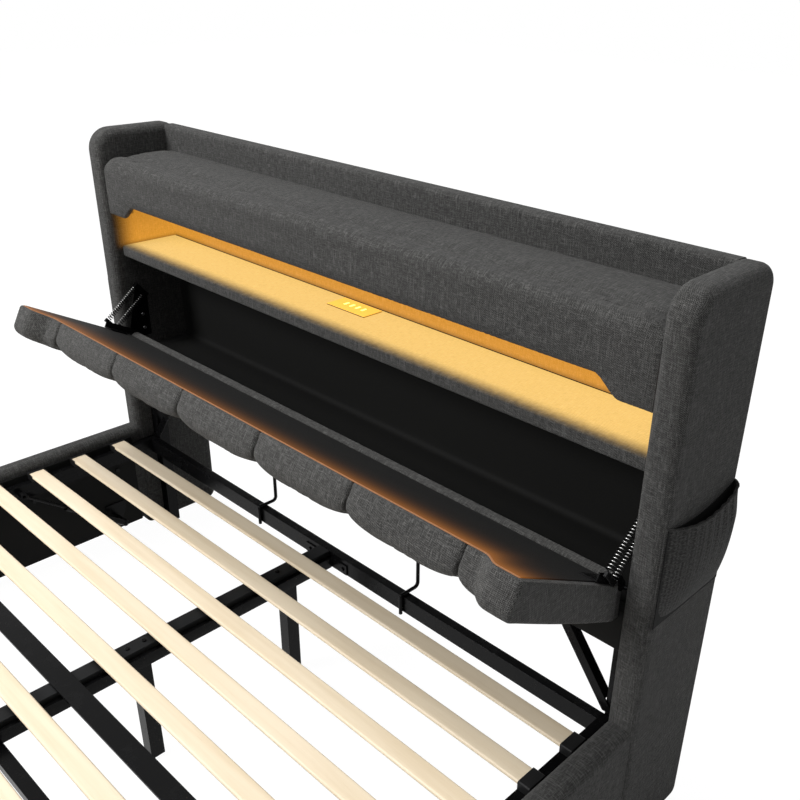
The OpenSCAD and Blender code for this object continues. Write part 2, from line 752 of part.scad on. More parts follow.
module footboard() color(cloth) at_head() hull() {
    h = side_z - side_gap;
    for (k = [[0, 1], [0.3, 0.32], [1, 0]])
        translate([-half_w + soft_r * k[1], -rail_l - soft_r * k[0], side_gap + soft_r * k[1]])
            rotate([90, 0, 0]) linear_extrude(foot_t - 2 * soft_r * k[0])
                round_rect(2 * half_w - 2 * soft_r * k[1], h - 2 * soft_r * k[1], [6, 6, side_r, side_r]);
}

// Square glides stand under the rails and the footboard, drawn in from their faces
glide_in = 4;
glide_w = wing_t - 2 * glide_in - 1;
foot_glide_w = foot_t - 2 * glide_in - 1;
glide_at = [900, rail_l - 340];
module floor_glides() color(lining) at_head() both() {
    for (y = glide_at) translate([inner_x + glide_in, -y - glide_w / 2, 0]) cube([glide_w, glide_w, side_gap]);
    for (x = [inner_x / 2 - 100, half_w - 110])
        translate([x, -rail_l - glide_in - foot_glide_w, 0]) cube([foot_glide_w, foot_glide_w, side_gap]);
}

// Side pockets

pocket_front = 6;
pocket_back = head_d - 8;
pocket_sag = 34;
// The pocket rises gently from its front seam and stays full almost to its rear seam
function pocket_fullness(a) = a < 0.5 ? pow(sin(180 * a), 0.7) : sqrt(1 - pow(2 * a - 1, 6));
// How far the pocket's cloth stands out: full within 0.45 of its height, and a little less at its lip
function pocket_bulge(a, b) = pocket_out * pocket_fullness(a) * smooth(b / 0.45) * (1 - 0.15 * b);
function pocket_lip(a) = pocket_high_z - pocket_sag * sin(180 * a);
function pocket_pt(a, b, in) = [
    half_w + max(0.02 + pocket_t - in, pocket_bulge(a, b) + pocket_t - in),
    pocket_front + a * (pocket_back - pocket_front),
    pocket_low_z + b * (pocket_lip(a) - pocket_low_z)
];
pocket_cols = 10;
pocket_rows = 7;

module pocket(s) color(cloth) at_head() side(s) {
    loft([for (i = [0:pocket_cols]) let (a = i / pocket_cols) concat(
        [for (j = [0:pocket_rows]) pocket_pt(a, j / pocket_rows, 0)],
        [for (j = [pocket_rows:-1:0]) pocket_pt(a, j / pocket_rows, pocket_t)])], slim = true);
}
module pocket_left() pocket(-1);
module pocket_right() pocket(1);

// Slatted frame

module end_tube(y0, y1) difference() {
    span([-frame_x + tube_w, y0, frame_low_z], [frame_x - tube_w, y1, frame_z]);
    span([-frame_x, y0 + tube_wall, frame_low_z + tube_wall], [frame_x, y1 - tube_wall, frame_z - tube_wall]);
}

module head_tube() color(black_steel) at_head() end_tube(frame_in - end_tube_d, frame_in);
module foot_tube() color(black_steel) at_head() end_tube(-frame_foot, -frame_foot + end_tube_d);

module side_tube(s) color(black_steel) at_head() side(s) {
    bored_tube();
    strut_stud();
}

module bored_tube() difference() {
    tube_y(frame_x - tube_w, frame_low_z, tube_w, tube_h, -frame_foot, frame_in);
    pin_x(lift_pin_d + 2 * run_gap, frame_x - tube_w - 1, frame_x + 1, lift_y, lift_z);
}

// The stud that faces the strut's upper eye stands on the tube's inner face
module strut_stud() pin_x(strut_pin_d + 6, strut_x + strut_eye_w / 2 + 0.5, frame_x - tube_w, strut_high_y, lift_z);

module side_tube_left() side_tube(-1);
module side_tube_right() side_tube(1);

// The rail ends in a plate that is bolted to the head tube's front face
module centre_rail() color(black_steel) at_head() {
    head = frame_in - end_tube_d;
    tube_y(-rail_w / 2, rail_z, rail_w, rail_h, -frame_foot + end_tube_d, head - tee_t);
    span([-tee_w / 2, head - tee_t, rail_z + 2], [tee_w / 2, head, frame_z - strip_h]);
}

// The flat strip on the rail runs flush up to the head tube
module rail_strip() color("#4a4c4f") at_head()
    tube_y(strip_x - strip_w / 2, frame_z - strip_h, strip_w, strip_h, -frame_foot + end_tube_d, frame_in - end_tube_d);

bar_at = [for (i = [1:2]) slat_first + i * bay_l - bar_pitch];

module cross_bars() color(black_steel) at_head() {
    for (y = bar_at)
        span([-frame_x, -y - slat_w / 2, frame_z], [frame_x, -y + slat_w / 2, frame_z + bar_t]);
    for (y = low_bar_at) difference() {
        span([-frame_x, -y - low_bar_w / 2, rail_z - low_bar_h], [frame_x, -y + low_bar_w / 2, rail_z]);
        span([-frame_x - 1, -y - low_bar_w / 2 + tube_wall, rail_z - low_bar_h + tube_wall],
            [frame_x + 1, -y + low_bar_w / 2 - tube_wall, rail_z - tube_wall]);
    }
}

module frame_legs() color(black_steel) at_head() for (y = leg_at) {
    difference() {
        span([-leg_w / 2, -y - leg_w / 2, 0], [leg_w / 2, -y + leg_w / 2, rail_z]);
        span([-leg_w / 2 + tube_wall, -y - leg_w / 2 + tube_wall, 6],
            [leg_w / 2 - tube_wall, -y + leg_w / 2 - tube_wall, rail_z + 1]);
    }
}

module frame_bolts() color("#2a2b2d") at_head() {
    for (y = leg_at) for (k = [-1, 1]) translate([strip_x, -y + k * leg_bolt, frame_z])
        cylinder(d = bolt_d, h = bolt_h);
    for (k = [-1, 1]) translate([k * tee_bolt_x, frame_in - end_tube_d - tee_t, frame_z - strip_h - rail_h / 2])
        rotate([90, 0, 0]) cylinder(d = bolt_d, h = bolt_h);
}

// A quarter bend of round wire about +Z, from +X round to +Y
module wire_bend(r) rotate_extrude(angle = 90) translate([r, 0]) circle(d = retainer_d);

// The wire hooks over the head tube, rises behind it and crosses the bed
module mattress_retainer() color(black_steel) at_head() {
    hook_r = retainer_d / 2 + 1;
    r = 10;
    top_r = 30;
    front_y = frame_in - end_tube_d - retainer_d / 2 - 0.5;
    back = frame_in + 26;
    low = frame_low_z - 4;
    over = frame_z + retainer_d / 2 + 0.5;
    x = retainer_w / 2;
    both() {
        translate([x, front_y, low]) cylinder(d = retainer_d, h = over - hook_r - low);
        translate([x, front_y + hook_r, over - hook_r]) rotate([0, -90, 0]) rotate([0, 0, 270]) wire_bend(hook_r);
        translate([x, front_y + hook_r, over]) rotate([-90, 0, 0])
            cylinder(d = retainer_d, h = back - front_y - hook_r - r);
        translate([x, back - r, over + r]) rotate([0, 90, 0]) wire_bend(r);
        translate([x, back, over + r]) cylinder(d = retainer_d, h = retainer_z - retainer_d / 2 - top_r - over - r);
        translate([x - top_r, back, retainer_z - retainer_d / 2 - top_r]) rotate([90, 0, 0]) wire_bend(top_r);
    }
    pin_x(retainer_d, top_r - x, x - top_r, back, retainer_z - retainer_d / 2);
}

// Where the slats of one bay lie
function bay(i) = [for (k = [0:slats_per_bay - 1]) slat_first + i * bay_l + k * slat_pitch];
foot_bay = [for (y = [slat_first + 2 * bay_l:slat_pitch:rail_l - 60]) y];

// A slat is a flat strip bowed upwards, with its ends in the caps
function bow(x) = slat_rise * (1 - pow(x / slat_x, 2));
module slat(y) translate([0, -y + slat_w / 2, slat_z]) rotate([90, 0, 0]) linear_extrude(slat_w)
    polygon(concat(
        [for (k = [-8:8]) let (x = slat_x * k / 8) [x, bow(x)]],
        [for (k = [8:-1:-8]) let (x = slat_x * k / 8) [x, bow(x) + slat_t]]));

module slats_head() color(birch) at_head() for (y = bay(0)) slat(y);
module slats_middle() color(birch) at_head() for (y = bay(1)) slat(y);
module slats_foot() color(birch) at_head() for (y = foot_bay) slat(y);

// Each cap is a closed-ended pocket for a slat's end. On the left only a short lip
// covers the slat, so that the slat is pushed into the right cap and let down there
module slat_caps() color(lining) at_head() for (s = [-1, 1]) side(s)
    for (y = concat(bay(0), bay(1), foot_bay)) difference() {
        translate([cap_x - cap_l, -y - cap_w / 2, frame_z]) rotate([90, 0, 90])
            linear_extrude(cap_l) round_rect(cap_w, cap_h, [0, 0, cap_r, cap_r]);
        span([cap_x - cap_l - 1, -y - slat_w / 2 - slat_gap, slat_z - slat_gap],
            [slat_x + slat_gap, -y + slat_w / 2 + slat_gap, slat_z + slat_t + bow_room]);
        if (s < 0) span([cap_x - cap_l - 1, -y - slat_w / 2 - slat_gap, slat_z],
            [cap_x - cap_lip, -y + slat_w / 2 + slat_gap, frame_z + cap_h + 1]);
    }

// Lift

module lift_hinge(s) color(black_steel) at_head() side(s) {
    hull() {
        pin_x(2 * plate_r, lift_plate_x, lift_plate_x + lift_plate_t, lift_y, lift_z);
        span([lift_plate_x, post_y - 14, lift_z - plate_r], [lift_plate_x + lift_plate_t, post_y, lift_z + plate_r]);
    }
    pin_x(lift_pin_d, frame_x - tube_w + tube_wall / 2, lift_plate_x, lift_y, lift_z);
    pin_x(lift_pin_d + 8, frame_x + 0.4, lift_plate_x, lift_y, lift_z);
}
module lift_hinge_left() lift_hinge(-1);
module lift_hinge_right() lift_hinge(1);

// The struts' lower brackets, on the rails' linings
module strut_brackets() color(black_steel) at_head() both() {
    plate = 4;
    x = inner_x - liner_t - plate;
    hull() {
        pin_x(2 * plate_r, x, x + plate, -strut_low_y, strut_low_z);
        span([x, -strut_low_y - 30, strut_low_z + 24], [x + plate, -strut_low_y + 30, strut_low_z + 44]);
    }
    pin_x(strut_pin_d + 6, strut_x + strut_eye_w / 2 + 0.4, x, -strut_low_y, strut_low_z);
    pin_x(strut_pin_d, strut_x - strut_eye_w / 2 - 2, x, -strut_low_y, strut_low_z);
}

// Local +Y runs from the strut's lower pivot up to its upper one
module along_strut(s) at_head() side(s)
    translate([strut_x, -strut_low_y, strut_low_z]) rotate([strut_angle, 0, 0]) children();

module strut_eye(y) difference() {
    pin_x(strut_eye_d, -strut_eye_w / 2, strut_eye_w / 2, y, 0);
    pin_x(strut_pin_d + 2 * run_gap, -strut_eye_w, strut_eye_w, y, 0);
}

module strut_cylinder(s) color(black_steel) along_strut(s) {
    strut_eye(0);
    translate([0, strut_eye_d / 2 - 1, 0]) rotate([-90, 0, 0]) difference() {
        cylinder(d = strut_d, h = strut_body - strut_eye_d / 2 + 1);
        translate([0, 0, 10]) cylinder(d = strut_bore, h = strut_body - strut_eye_d / 2 - 21);
        cylinder_exit();
    }
}
module cylinder_exit() translate([0, 0, 20]) cylinder(d = rod_d + 2 * run_gap, h = strut_body);
module strut_cylinder_left() strut_cylinder(-1);
module strut_cylinder_right() strut_cylinder(1);

// The rod's upper eye is carried by the frame at a pivot that is left open
module strut_rod(s) color(black_steel) along_strut(s) {
    strut_eye(strut_len);
    translate([0, rod_in, 0]) rotate([-90, 0, 0]) {
        cylinder(d = rod_d, h = strut_len - strut_eye_d / 2 + strut_weld - rod_in);
        cylinder(d = piston_d, h = 10);
    }
}
module strut_rod_left() strut_rod(-1);
module strut_rod_right() strut_rod(1);

wing_left();
wing_right();
back_panel();
ledge_board();
ledge_pad();
led_strip();
shelf();
charging_panel();
charging_module();
box_floor();
box_lining();
box_lip();
apron();
post_left();
post_right();
brace_left();
brace_right();
flap_hinge_left();
flap_hinge_right();
panel_screws();
flap_board();
flap_pad();
flap_liner();
flap_arm_left();
flap_arm_right();
spring_yoke_left();
spring_yoke_right();
spring_pair_left();
spring_pair_right();
spring_foot_left();
spring_foot_right();
side_rail_left();
side_rail_right();
rail_liner_left();
rail_liner_right();
footboard();
floor_glides();
pocket_left();
pocket_right();
head_tube();
foot_tube();
side_tube_left();
side_tube_right();
centre_rail();
rail_strip();
cross_bars();
frame_legs();
frame_bolts();
mattress_retainer();
slat_caps();
slats_head();
slats_middle();
slats_foot();
lift_hinge_left();
lift_hinge_right();
strut_brackets();
strut_cylinder_left();
strut_cylinder_right();
strut_rod_left();
strut_rod_right();
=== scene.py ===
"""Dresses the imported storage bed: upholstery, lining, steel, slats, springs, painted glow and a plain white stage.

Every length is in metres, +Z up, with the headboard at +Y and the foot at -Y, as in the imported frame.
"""

import json
import math

import bmesh
import bpy
import numpy as np
from bpy.props import FloatProperty, FloatVectorProperty, IntProperty, PointerProperty
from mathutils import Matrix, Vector

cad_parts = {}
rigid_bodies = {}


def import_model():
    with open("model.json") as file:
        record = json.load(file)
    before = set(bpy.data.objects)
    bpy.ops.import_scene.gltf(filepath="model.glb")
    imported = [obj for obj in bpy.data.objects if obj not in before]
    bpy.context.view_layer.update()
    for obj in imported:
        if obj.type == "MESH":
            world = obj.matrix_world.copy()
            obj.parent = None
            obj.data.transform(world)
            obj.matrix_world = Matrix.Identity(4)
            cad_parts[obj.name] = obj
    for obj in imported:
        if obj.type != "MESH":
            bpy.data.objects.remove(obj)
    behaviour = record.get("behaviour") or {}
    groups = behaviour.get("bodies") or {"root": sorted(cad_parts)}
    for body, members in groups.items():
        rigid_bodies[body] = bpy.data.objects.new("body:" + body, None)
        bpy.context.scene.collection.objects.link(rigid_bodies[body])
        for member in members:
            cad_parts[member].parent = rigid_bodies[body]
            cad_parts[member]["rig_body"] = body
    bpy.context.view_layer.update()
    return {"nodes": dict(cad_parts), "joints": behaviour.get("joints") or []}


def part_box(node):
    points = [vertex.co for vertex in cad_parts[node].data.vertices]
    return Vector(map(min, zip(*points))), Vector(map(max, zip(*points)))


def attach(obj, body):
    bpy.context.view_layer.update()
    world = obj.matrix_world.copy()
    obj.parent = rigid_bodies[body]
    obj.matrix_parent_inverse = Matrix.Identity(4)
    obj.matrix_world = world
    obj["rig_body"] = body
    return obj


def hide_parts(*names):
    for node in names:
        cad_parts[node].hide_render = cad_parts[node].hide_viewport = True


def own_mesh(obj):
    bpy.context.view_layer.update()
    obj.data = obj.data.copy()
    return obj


bl_info = {
    "name": "Storage bed",
    "version": (1, 0, 0),
    "blender": (4, 5, 0),
    "location": "3D View > Sidebar > Storage bed",
    "description": "Upholstery, steel and slats of a storage bed with a sprung flap, around its packed frame",
    "category": "Object",
}

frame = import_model()

# Places read from the frame


def corners(node):
    """The lowest and highest corner of a CAD node, as arrays."""
    low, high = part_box(node)
    return np.array(low), np.array(high)


def joint(name):
    """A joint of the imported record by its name."""
    return next(j for j in frame["joints"] if j["name"] == name)


WING_LOW, WING_HIGH = corners("wing_right")
INNER_X = float(WING_LOW[0])
HALF_W = float(WING_HIGH[0])
FRONT_Y = float(WING_LOW[1])
BACK_Y = float(WING_HIGH[1])
SHELF_TOP = float(corners("shelf")[1][2])
LEDGE_TOP = float(corners("ledge_pad")[1][2]) - 0.001

HINGE = joint("flap_hinge")
HINGE_Y, HINGE_Z = HINGE["pos_m"][1:]
# The open flap's tilt, and the place of its hinge end, which clears the box's round lip
TILT = math.radians(90 - HINGE["range_deg"][1])
LIP_R = 0.015
END_GAP = LIP_R + 0.0015
FACE_ABOVE_PIN = 0.004
FLAP_END_Y = HINGE_Y - END_GAP
FLAP_END_Z = HINGE_Z + (FACE_ABOVE_PIN + END_GAP * math.sin(TILT)) / math.cos(TILT)
# Half its width, its length without the ears, and the ears' reach, start and slope
FLAP_HALF = INNER_X - 0.012
FLAP_L = 0.262
EAR_REACH = 0.034
EAR_X = FLAP_HALF - 0.099
EAR_L = 0.050
# The pad's thickness at its seams and at its lobes' crowns, and the seams' places on each side
PAD_SEAM_T = 0.050
PAD_CROWN_T = 0.068
SEAM_PITCH = 0.250
SEAMS = [SEAM_PITCH * (k + 0.5) for k in range(3)]
LINER_T = 0.002
# The way that the springs' painted glints face, and the angles of the points round a wire or a roll
GLINT_FACING = np.array([0.1, -0.75, 0.65])
ROUND = np.linspace(0, 2 * np.pi, 9)[:-1]
# An edge between faces that turn by more than this is rounded, and one between flatter faces is dissolved
EDGE_ANGLE = math.radians(35)
FLAT_ANGLE = math.radians(0.5)
# The colour of what gives off no light
UNLIT = (0, 0, 0, 1)


# Settings


class BedSizes(bpy.types.PropertyGroup):
    """Sizes of what the dressing adds to the frame."""

    thread: FloatProperty(
        name="Thread", description="Distance from one thread of the weave to the next",
        default=0.0031, min=0.0005, max=0.004, precision=4, unit="LENGTH")
    wing_round: FloatProperty(
        name="Wing rounding", description="Radius of the padding round a wing's edges",
        default=0.019, min=0.006, max=0.022, precision=3, unit="LENGTH")
    pad_swell: FloatProperty(
        name="Pad swell", description="How far the simulated cloth of a pad may move",
        default=0.003, min=0.001, max=0.012, precision=3, unit="LENGTH")
    coils: IntProperty(
        name="Coils", description="Coils in one spring of the flap", default=17, min=12, max=30)
    wire: FloatProperty(
        name="Wire", description="Diameter of a spring's wire",
        default=0.0024, min=0.001, max=0.0026, precision=4, unit="LENGTH")


class BedColours(bpy.types.PropertyGroup):
    """Colours of the bed's finishes."""

    cloth_dark: FloatVectorProperty(
        name="Cloth, dark threads", description="Colour of the cloth's dark threads",
        subtype="COLOR", min=0, max=1, default=(0.0160, 0.0158, 0.0153))
    cloth_light: FloatVectorProperty(
        name="Cloth, light threads", description="Colour of the cloth's light slubs",
        subtype="COLOR", min=0, max=1, default=(0.108, 0.1068, 0.1030))
    lining: FloatVectorProperty(
        name="Lining", description="Colour of the box's black lining",
        subtype="COLOR", min=0, max=1, default=(0.0085, 0.0085, 0.0081))
    glow: FloatVectorProperty(
        name="Glow", description="Colour of the light strip's glow on the shelf",
        subtype="COLOR", min=0, max=1, default=(0.96, 0.60, 0.165))
    birch: FloatVectorProperty(
        name="Slats", description="Colour of the pale slats",
        subtype="COLOR", min=0, max=1, default=(0.72, 0.62, 0.47))
    steel: FloatVectorProperty(
        name="Steel", description="Colour of the powder-coated steel",
        subtype="COLOR", min=0, max=1, default=(0.0028, 0.0028, 0.0030))


# Materials


class Value:
    """A shader output that takes part in Python expressions and adds Math nodes as it goes."""

    def __init__(self, finish, socket):
        self.finish = finish
        self.socket = socket

    def _math(self, operation, *values):
        return self.finish.node("ShaderNodeMath", {"operation": operation}, dict(enumerate(values)))

    def __add__(self, other):
        return self._math("ADD", self, other)

    def __radd__(self, other):
        return self._math("ADD", other, self)

    def __sub__(self, other):
        return self._math("SUBTRACT", self, other)

    def __rsub__(self, other):
        return self._math("SUBTRACT", other, self)

    def __mul__(self, other):
        return self._math("MULTIPLY", self, other)

    def __rmul__(self, other):
        return self._math("MULTIPLY", other, self)

    def __abs__(self):
        return self._math("ABSOLUTE", self)

    def sine(self):
        return self._math("SINE", self)

    def at_least(self, other):
        return self._math("MAXIMUM", self, other)

    def at_most(self, other):
        return self._math("MINIMUM", self, other)

    def rise(self, low, high):
        """0 below low, 1 above high and smooth between them; high may be the lower one."""
        inputs = {0: self, 1: low, 2: high, 3: 0.0, 4: 1.0}
        return self.finish.node("ShaderNodeMapRange", {"interpolation_type": "SMOOTHSTEP"}, inputs)


class Nodes:
    """A tree of shader nodes."""

    def __init__(self, tree):
        self.tree = tree

    def node(self, kind, settings=None, inputs=None, output=0):
        """Adds a node: its settings first, then the values or links of its inputs. Returns one output, if any."""
        made = self.tree.nodes.new(kind)
        for name, value in (settings or {}).items():
            setattr(made, name, value)
        for key, value in (inputs or {}).items():
            if isinstance(value, Value):
                self.tree.links.new(value.socket, made.inputs[key])
            else:
                made.inputs[key].default_value = value
        return Value(self, made.outputs[output]) if made.outputs else None

    def seen(self):
        """1 for rays that see the background directly, in a reflection or through glass."""
        rays = self.node("ShaderNodeLightPath").socket.node.outputs
        kinds = ("Is Camera Ray", "Is Glossy Ray", "Is Transmission Ray")
        camera, glossy, through = [Value(self, rays[kind]) for kind in kinds]
        return camera.at_least(glossy).at_least(through)


class Finish(Nodes):
    """A material with one Principled shader, whose constants are set on its own sockets."""

    def __init__(self, name, **constants):
        self.material = bpy.data.materials.new(name)
        self.material.use_nodes = True
        super().__init__(self.material.node_tree)
        self.shader = self.tree.nodes["Principled BSDF"]
        for socket, value in constants.items():
            self.shader.inputs[socket.replace("_", " ")].default_value = value

    def split(self, vector):
        """The three numbers of a vector."""
        outputs = self.node("ShaderNodeSeparateXYZ", None, {0: vector}).socket.node.outputs
        return [Value(self, output) for output in outputs]

    def place(self):
        """The point's place on the bed, from its Object coordinates."""
        return self.split(self.node("ShaderNodeTexCoord", output=3))

    def threads(self):
        """The point's place on the cloth, in metres along the two ways of its weave."""
        return self.split(self.node("ShaderNodeUVMap", {"uv_map": "weave"}))[:2]

    def vector(self, x, y, z=0.0):
        """A vector of three numbers."""
        return self.node("ShaderNodeCombineXYZ", None, {0: x, 1: y, 2: z})

    def noise(self, vector, scale=1.0, detail=2.0, roughness=0.5):
        """Soft noise, about 0.5 on average."""
        inputs = {"Vector": vector, "Scale": scale, "Detail": detail, "Roughness": roughness}
        return self.node("ShaderNodeTexNoise", None, inputs)

    def blend(self, amount, first, second, kind="MIX"):
        """Mixes two colours by an amount."""
        settings = {"data_type": "RGBA", "blend_type": kind, "clamp_factor": True}
        return self.node("ShaderNodeMix", settings, {0: amount, 6: first, 7: second}, 2)

    def bump(self, height, distance, below=None):
        """A normal that follows height, on top of the normal below."""
        inputs = {"Height": height, "Distance": distance, "Strength": 1.0}
        if below is not None:
            inputs["Normal"] = below
        return self.node("ShaderNodeBump", None, inputs)

    def feed(self, **links):
        """Links values to the shader's sockets."""
        for name, value in links.items():
            self.tree.links.new(value.socket, self.shader.inputs[name.replace("_", " ")])


def rgba(colour, level=1.0):
    """A colour made lighter or darker by a level, with full alpha."""
    return (*[min(1.0, c * level) for c in colour], 1.0)


def tinted(colour, factors):
    """A colour with each of its numbers multiplied by its own factor."""
    return rgba([c * k for c, k in zip(colour, factors)])


def linen(name, settings, glow=None, level=1.0):
    """Linen-look cloth: a plain weave with thick slubs both ways, slight wrinkles, and the light strip's painted
    glow if given.

    glow takes the finish and returns how strongly and in which colour the light strip's glow is painted on the
    cloth, as emission.
    """
    sizes, colours = settings
    f = Finish(name, Roughness=0.92, Sheen_Weight=0.08, Sheen_Roughness=0.45, Specular_IOR_Level=0.10)
    u, v = f.threads()
    turn = 2 * math.pi / sizes.thread
    weave = (u * turn).sine() * (v * turn).sine()
    # Short slubs lie across and along the weave, long thin streaks too, and fine fuzz over all
    across = f.noise(f.vector(u * 70, v * 760), detail=2, roughness=0.6)
    along = f.noise(f.vector(u * 760, v * 70, 4.0), detail=2, roughness=0.6)
    long_across = f.noise(f.vector(u * 16, v * 430, 2.0), detail=1)
    long_along = f.noise(f.vector(u * 430, v * 16, 6.0), detail=1)
    fine = f.noise(f.vector(u * 1200, v * 1200, 9.0), detail=1)
    slub = across.rise(0.48, 0.74) * 0.45 + along.rise(0.48, 0.74) * 0.50
    streak = long_across.rise(0.50, 0.78) * 0.22 + long_along.rise(0.50, 0.78) * 0.30
    dark = across.rise(0.46, 0.26) * 0.20 + along.rise(0.46, 0.26) * 0.20
    x, y, z = f.place()
    patch = f.noise(f.vector(x, y, z), scale=2.6, detail=1)
    shade = slub * 1.05 + streak * 1.1 + weave * 0.36 + fine * 0.50 + patch * 0.10 - dark * 1.3 - 0.10
    colour = f.blend(shade, rgba(colours.cloth_dark, level), rgba(colours.cloth_light, level))
    height = weave + slub + streak * 0.7 + fine * 0.6
    crease = f.noise(f.vector(x, y, z), scale=6.0, detail=2, roughness=0.5)
    normal = f.bump(height, 0.0005, f.bump(crease, 0.0012))
    f.feed(Base_Color=colour, Normal=normal, Roughness=0.97 - slub * 0.1)
    if glow:
        # Painted light: the light strip's glow as emission, textured by the weave
        lit, tint = glow(f, x, y, z)
        texture = lit * (0.80 + slub * 0.16 + weave * 0.05 + fine * 0.12 - dark * 0.25)
        f.feed(Emission_Color=f.blend(texture, UNLIT, tint))
        f.shader.inputs["Emission Strength"].default_value = 1.0
    return f.material


def painted_niche_glow(colours):
    """The light strip's glow painted as emission on the cloth inside the niche: strongest near the back, fading
    towards the wings' front edges.
    """

    def glow(f, x, y, z):
        inside = abs(x).rise(INNER_X + 0.004, INNER_X + 0.002)
        upward = z.rise(SHELF_TOP - 0.012, SHELF_TOP + 0.012) * z.rise(LEDGE_TOP - 0.04, LEDGE_TOP - 0.07)
        inwards = y.rise(FRONT_Y + 0.006, FRONT_Y + 0.075) * y.rise(BACK_Y - 0.006, BACK_Y - 0.024)
        # Painted light, stronger near the shelf and only inside the niche
        amount = inside * upward * inwards * (0.55 + z.rise(SHELF_TOP + 0.12, SHELF_TOP) * 0.25)
        return amount, tinted(colours.glow, (1.06, 0.69, 0.24))

    return glow


def painted_shelf_glow(colours):
    """The light strip's glow painted as emission on the shelf's top: bright amber, paler towards its middle, gone at
    its front edge.
    """

    def glow(f, x, y, z):
        waver = f.noise(f.vector(x, y, z), scale=90.0, detail=2) * 0.010
        front = FRONT_Y + 0.028
        top = z.rise(SHELF_TOP - 0.005, SHELF_TOP - 0.0002)
        back = (y + waver).rise(front - 0.002, front + 0.050)
        end = abs(x).rise(INNER_X + 0.03, INNER_X - 0.10) * 0.14 + 0.86
        centre = abs(y - (front + 0.085)).rise(0.11, 0.02) * 0.10 + 0.98
        return top * back * end * centre, rgba(colours.glow, 1.04)

    return glow


def lining_cloth(name, colours, level=0.85, rim=False):
    """Smooth black lining with a faint nap; with its last argument set, it adds a painted amber reflection of the
    light strip along the flap's free edge, as emission.
    """
    f = Finish(name, Roughness=0.72, Sheen_Weight=0.02, Sheen_Roughness=0.4, Specular_IOR_Level=0.08)
    x, y, z = f.place()
    nap = f.noise(f.vector(x, y, z), scale=420.0, detail=3)
    cloud = f.noise(f.vector(x * 1.5, y * 4, z * 4), detail=2)
    mix = nap * 0.35 + cloud * 0.5
    colour = f.blend(mix, rgba(colours.lining, 0.7 * level), rgba(colours.lining, 1.55 * level))
    f.feed(Base_Color=colour, Roughness=0.62 + nap * 0.2, Normal=f.bump(nap, 0.0002, f.bump(cloud, 0.004)))
    if rim:
        # Painted reflection: the light strip's amber as emission, along the flap's free edge
        near = f.node("ShaderNodeAttribute", {"attribute_name": "rim"}, output=2)
        waver = f.noise(f.vector(x * 2.2, 0.0, 3.0), detail=1) * 0.25 + 0.85
        f.feed(Emission_Color=f.blend(near * waver, UNLIT, (0.27, 0.092, 0.014, 1)))
        f.shader.inputs["Emission Strength"].default_value = 1.0
    return f.material


def welt_painted_glow(name):
    """The thin welt at the flap's free edge, with the light strip's amber glow painted on it as emission."""
    f = Finish(name, Roughness=0.8, Emission_Strength=1.0)
    x, y, z = f.place()
    thread = f.noise(f.vector(x * 300, y * 300, z * 300), detail=2)
    f.feed(Base_Color=f.blend(thread, (0.05, 0.03, 0.02, 1), (0.12, 0.07, 0.04, 1)),
           Emission_Color=f.blend(thread, (0.19, 0.062, 0.012, 1), (0.31, 0.11, 0.022, 1)))
    return f.material


def mesh_cloth(name, colours):
    """The pockets' cloth: fine cross ribs with a soft gather, over a dark base."""
    f = Finish(name, Roughness=0.9, Sheen_Weight=0.05, Sheen_Roughness=0.5, Specular_IOR_Level=0.10)
    u, v = f.threads()
    waver = f.noise(f.vector(u * 60, v * 30), detail=2) * 0.0016
    rib = ((v + waver) * (2 * math.pi / 0.0026)).sine() * 0.5 + 0.5
    dash = f.noise(f.vector(u * 210, v * 300), detail=1).rise(0.40, 0.62)
    strand = (u * (2 * math.pi / 0.0085)).sine() * 0.5 + 0.5
    slub = f.noise(f.vector(u * 60, v * 500), detail=2).rise(0.45, 0.75)
    shade = rib * dash * 0.42 + strand * 0.16 + slub * 0.20
    colour = f.blend(shade, rgba(colours.cloth_dark, 0.55), rgba(colours.cloth_light, 0.95))
    height = rib * dash + strand * 0.3 + slub * 0.3
    f.feed(Base_Color=colour, Roughness=0.95 - rib * 0.1, Normal=f.bump(height, 0.0005))
    return f.material


def coated_steel(name, colour, roughness=0.24):
    """Powder coat: fine orange peel, faint dust on it and duller handling marks."""
    f = Finish(name, Specular_IOR_Level=0.08)
    x, y, z = f.place()
    peel = f.noise(f.vector(x, y, z), scale=950.0, detail=2)
    dust = f.noise(f.vector(x, y, z), scale=26.0, detail=5, roughness=0.65).rise(0.5, 0.82)
    rub = f.noise(f.vector(x * 9, y * 9, z * 9), scale=1.0, detail=3)
    base = f.blend(dust * 0.30, rgba(colour), rgba([c * 2 + 0.004 for c in colour]))
    f.feed(Base_Color=base, Roughness=roughness + dust * 0.18 + rub * 0.12 - 0.05, Normal=f.bump(peel, 0.00006))
    return f.material


def bright_metal(name, colour, roughness, bright_from):
    """Plated steel with fine drawn lines and slight tarnish; it is blackened in front of y = bright_from."""
    f = Finish(name, Metallic=1.0)
    x, y, z = f.place()
    line = f.noise(f.vector(x * 60, y * 1500, z * 1500), detail=2)
    stain = f.noise(f.vector(x, y, z), scale=70.0, detail=4).rise(0.45, 0.8)
    base = f.blend(stain * 0.5, rgba(colour), rgba([c * 0.45 for c in colour]))
    base = f.blend(y.rise(bright_from, bright_from + 0.01), (0.01, 0.01, 0.01, 1), base)
    f.feed(Base_Color=base, Roughness=roughness + stain * 0.15 + line * 0.06, Normal=f.bump(line, 0.00003))
    return f.material


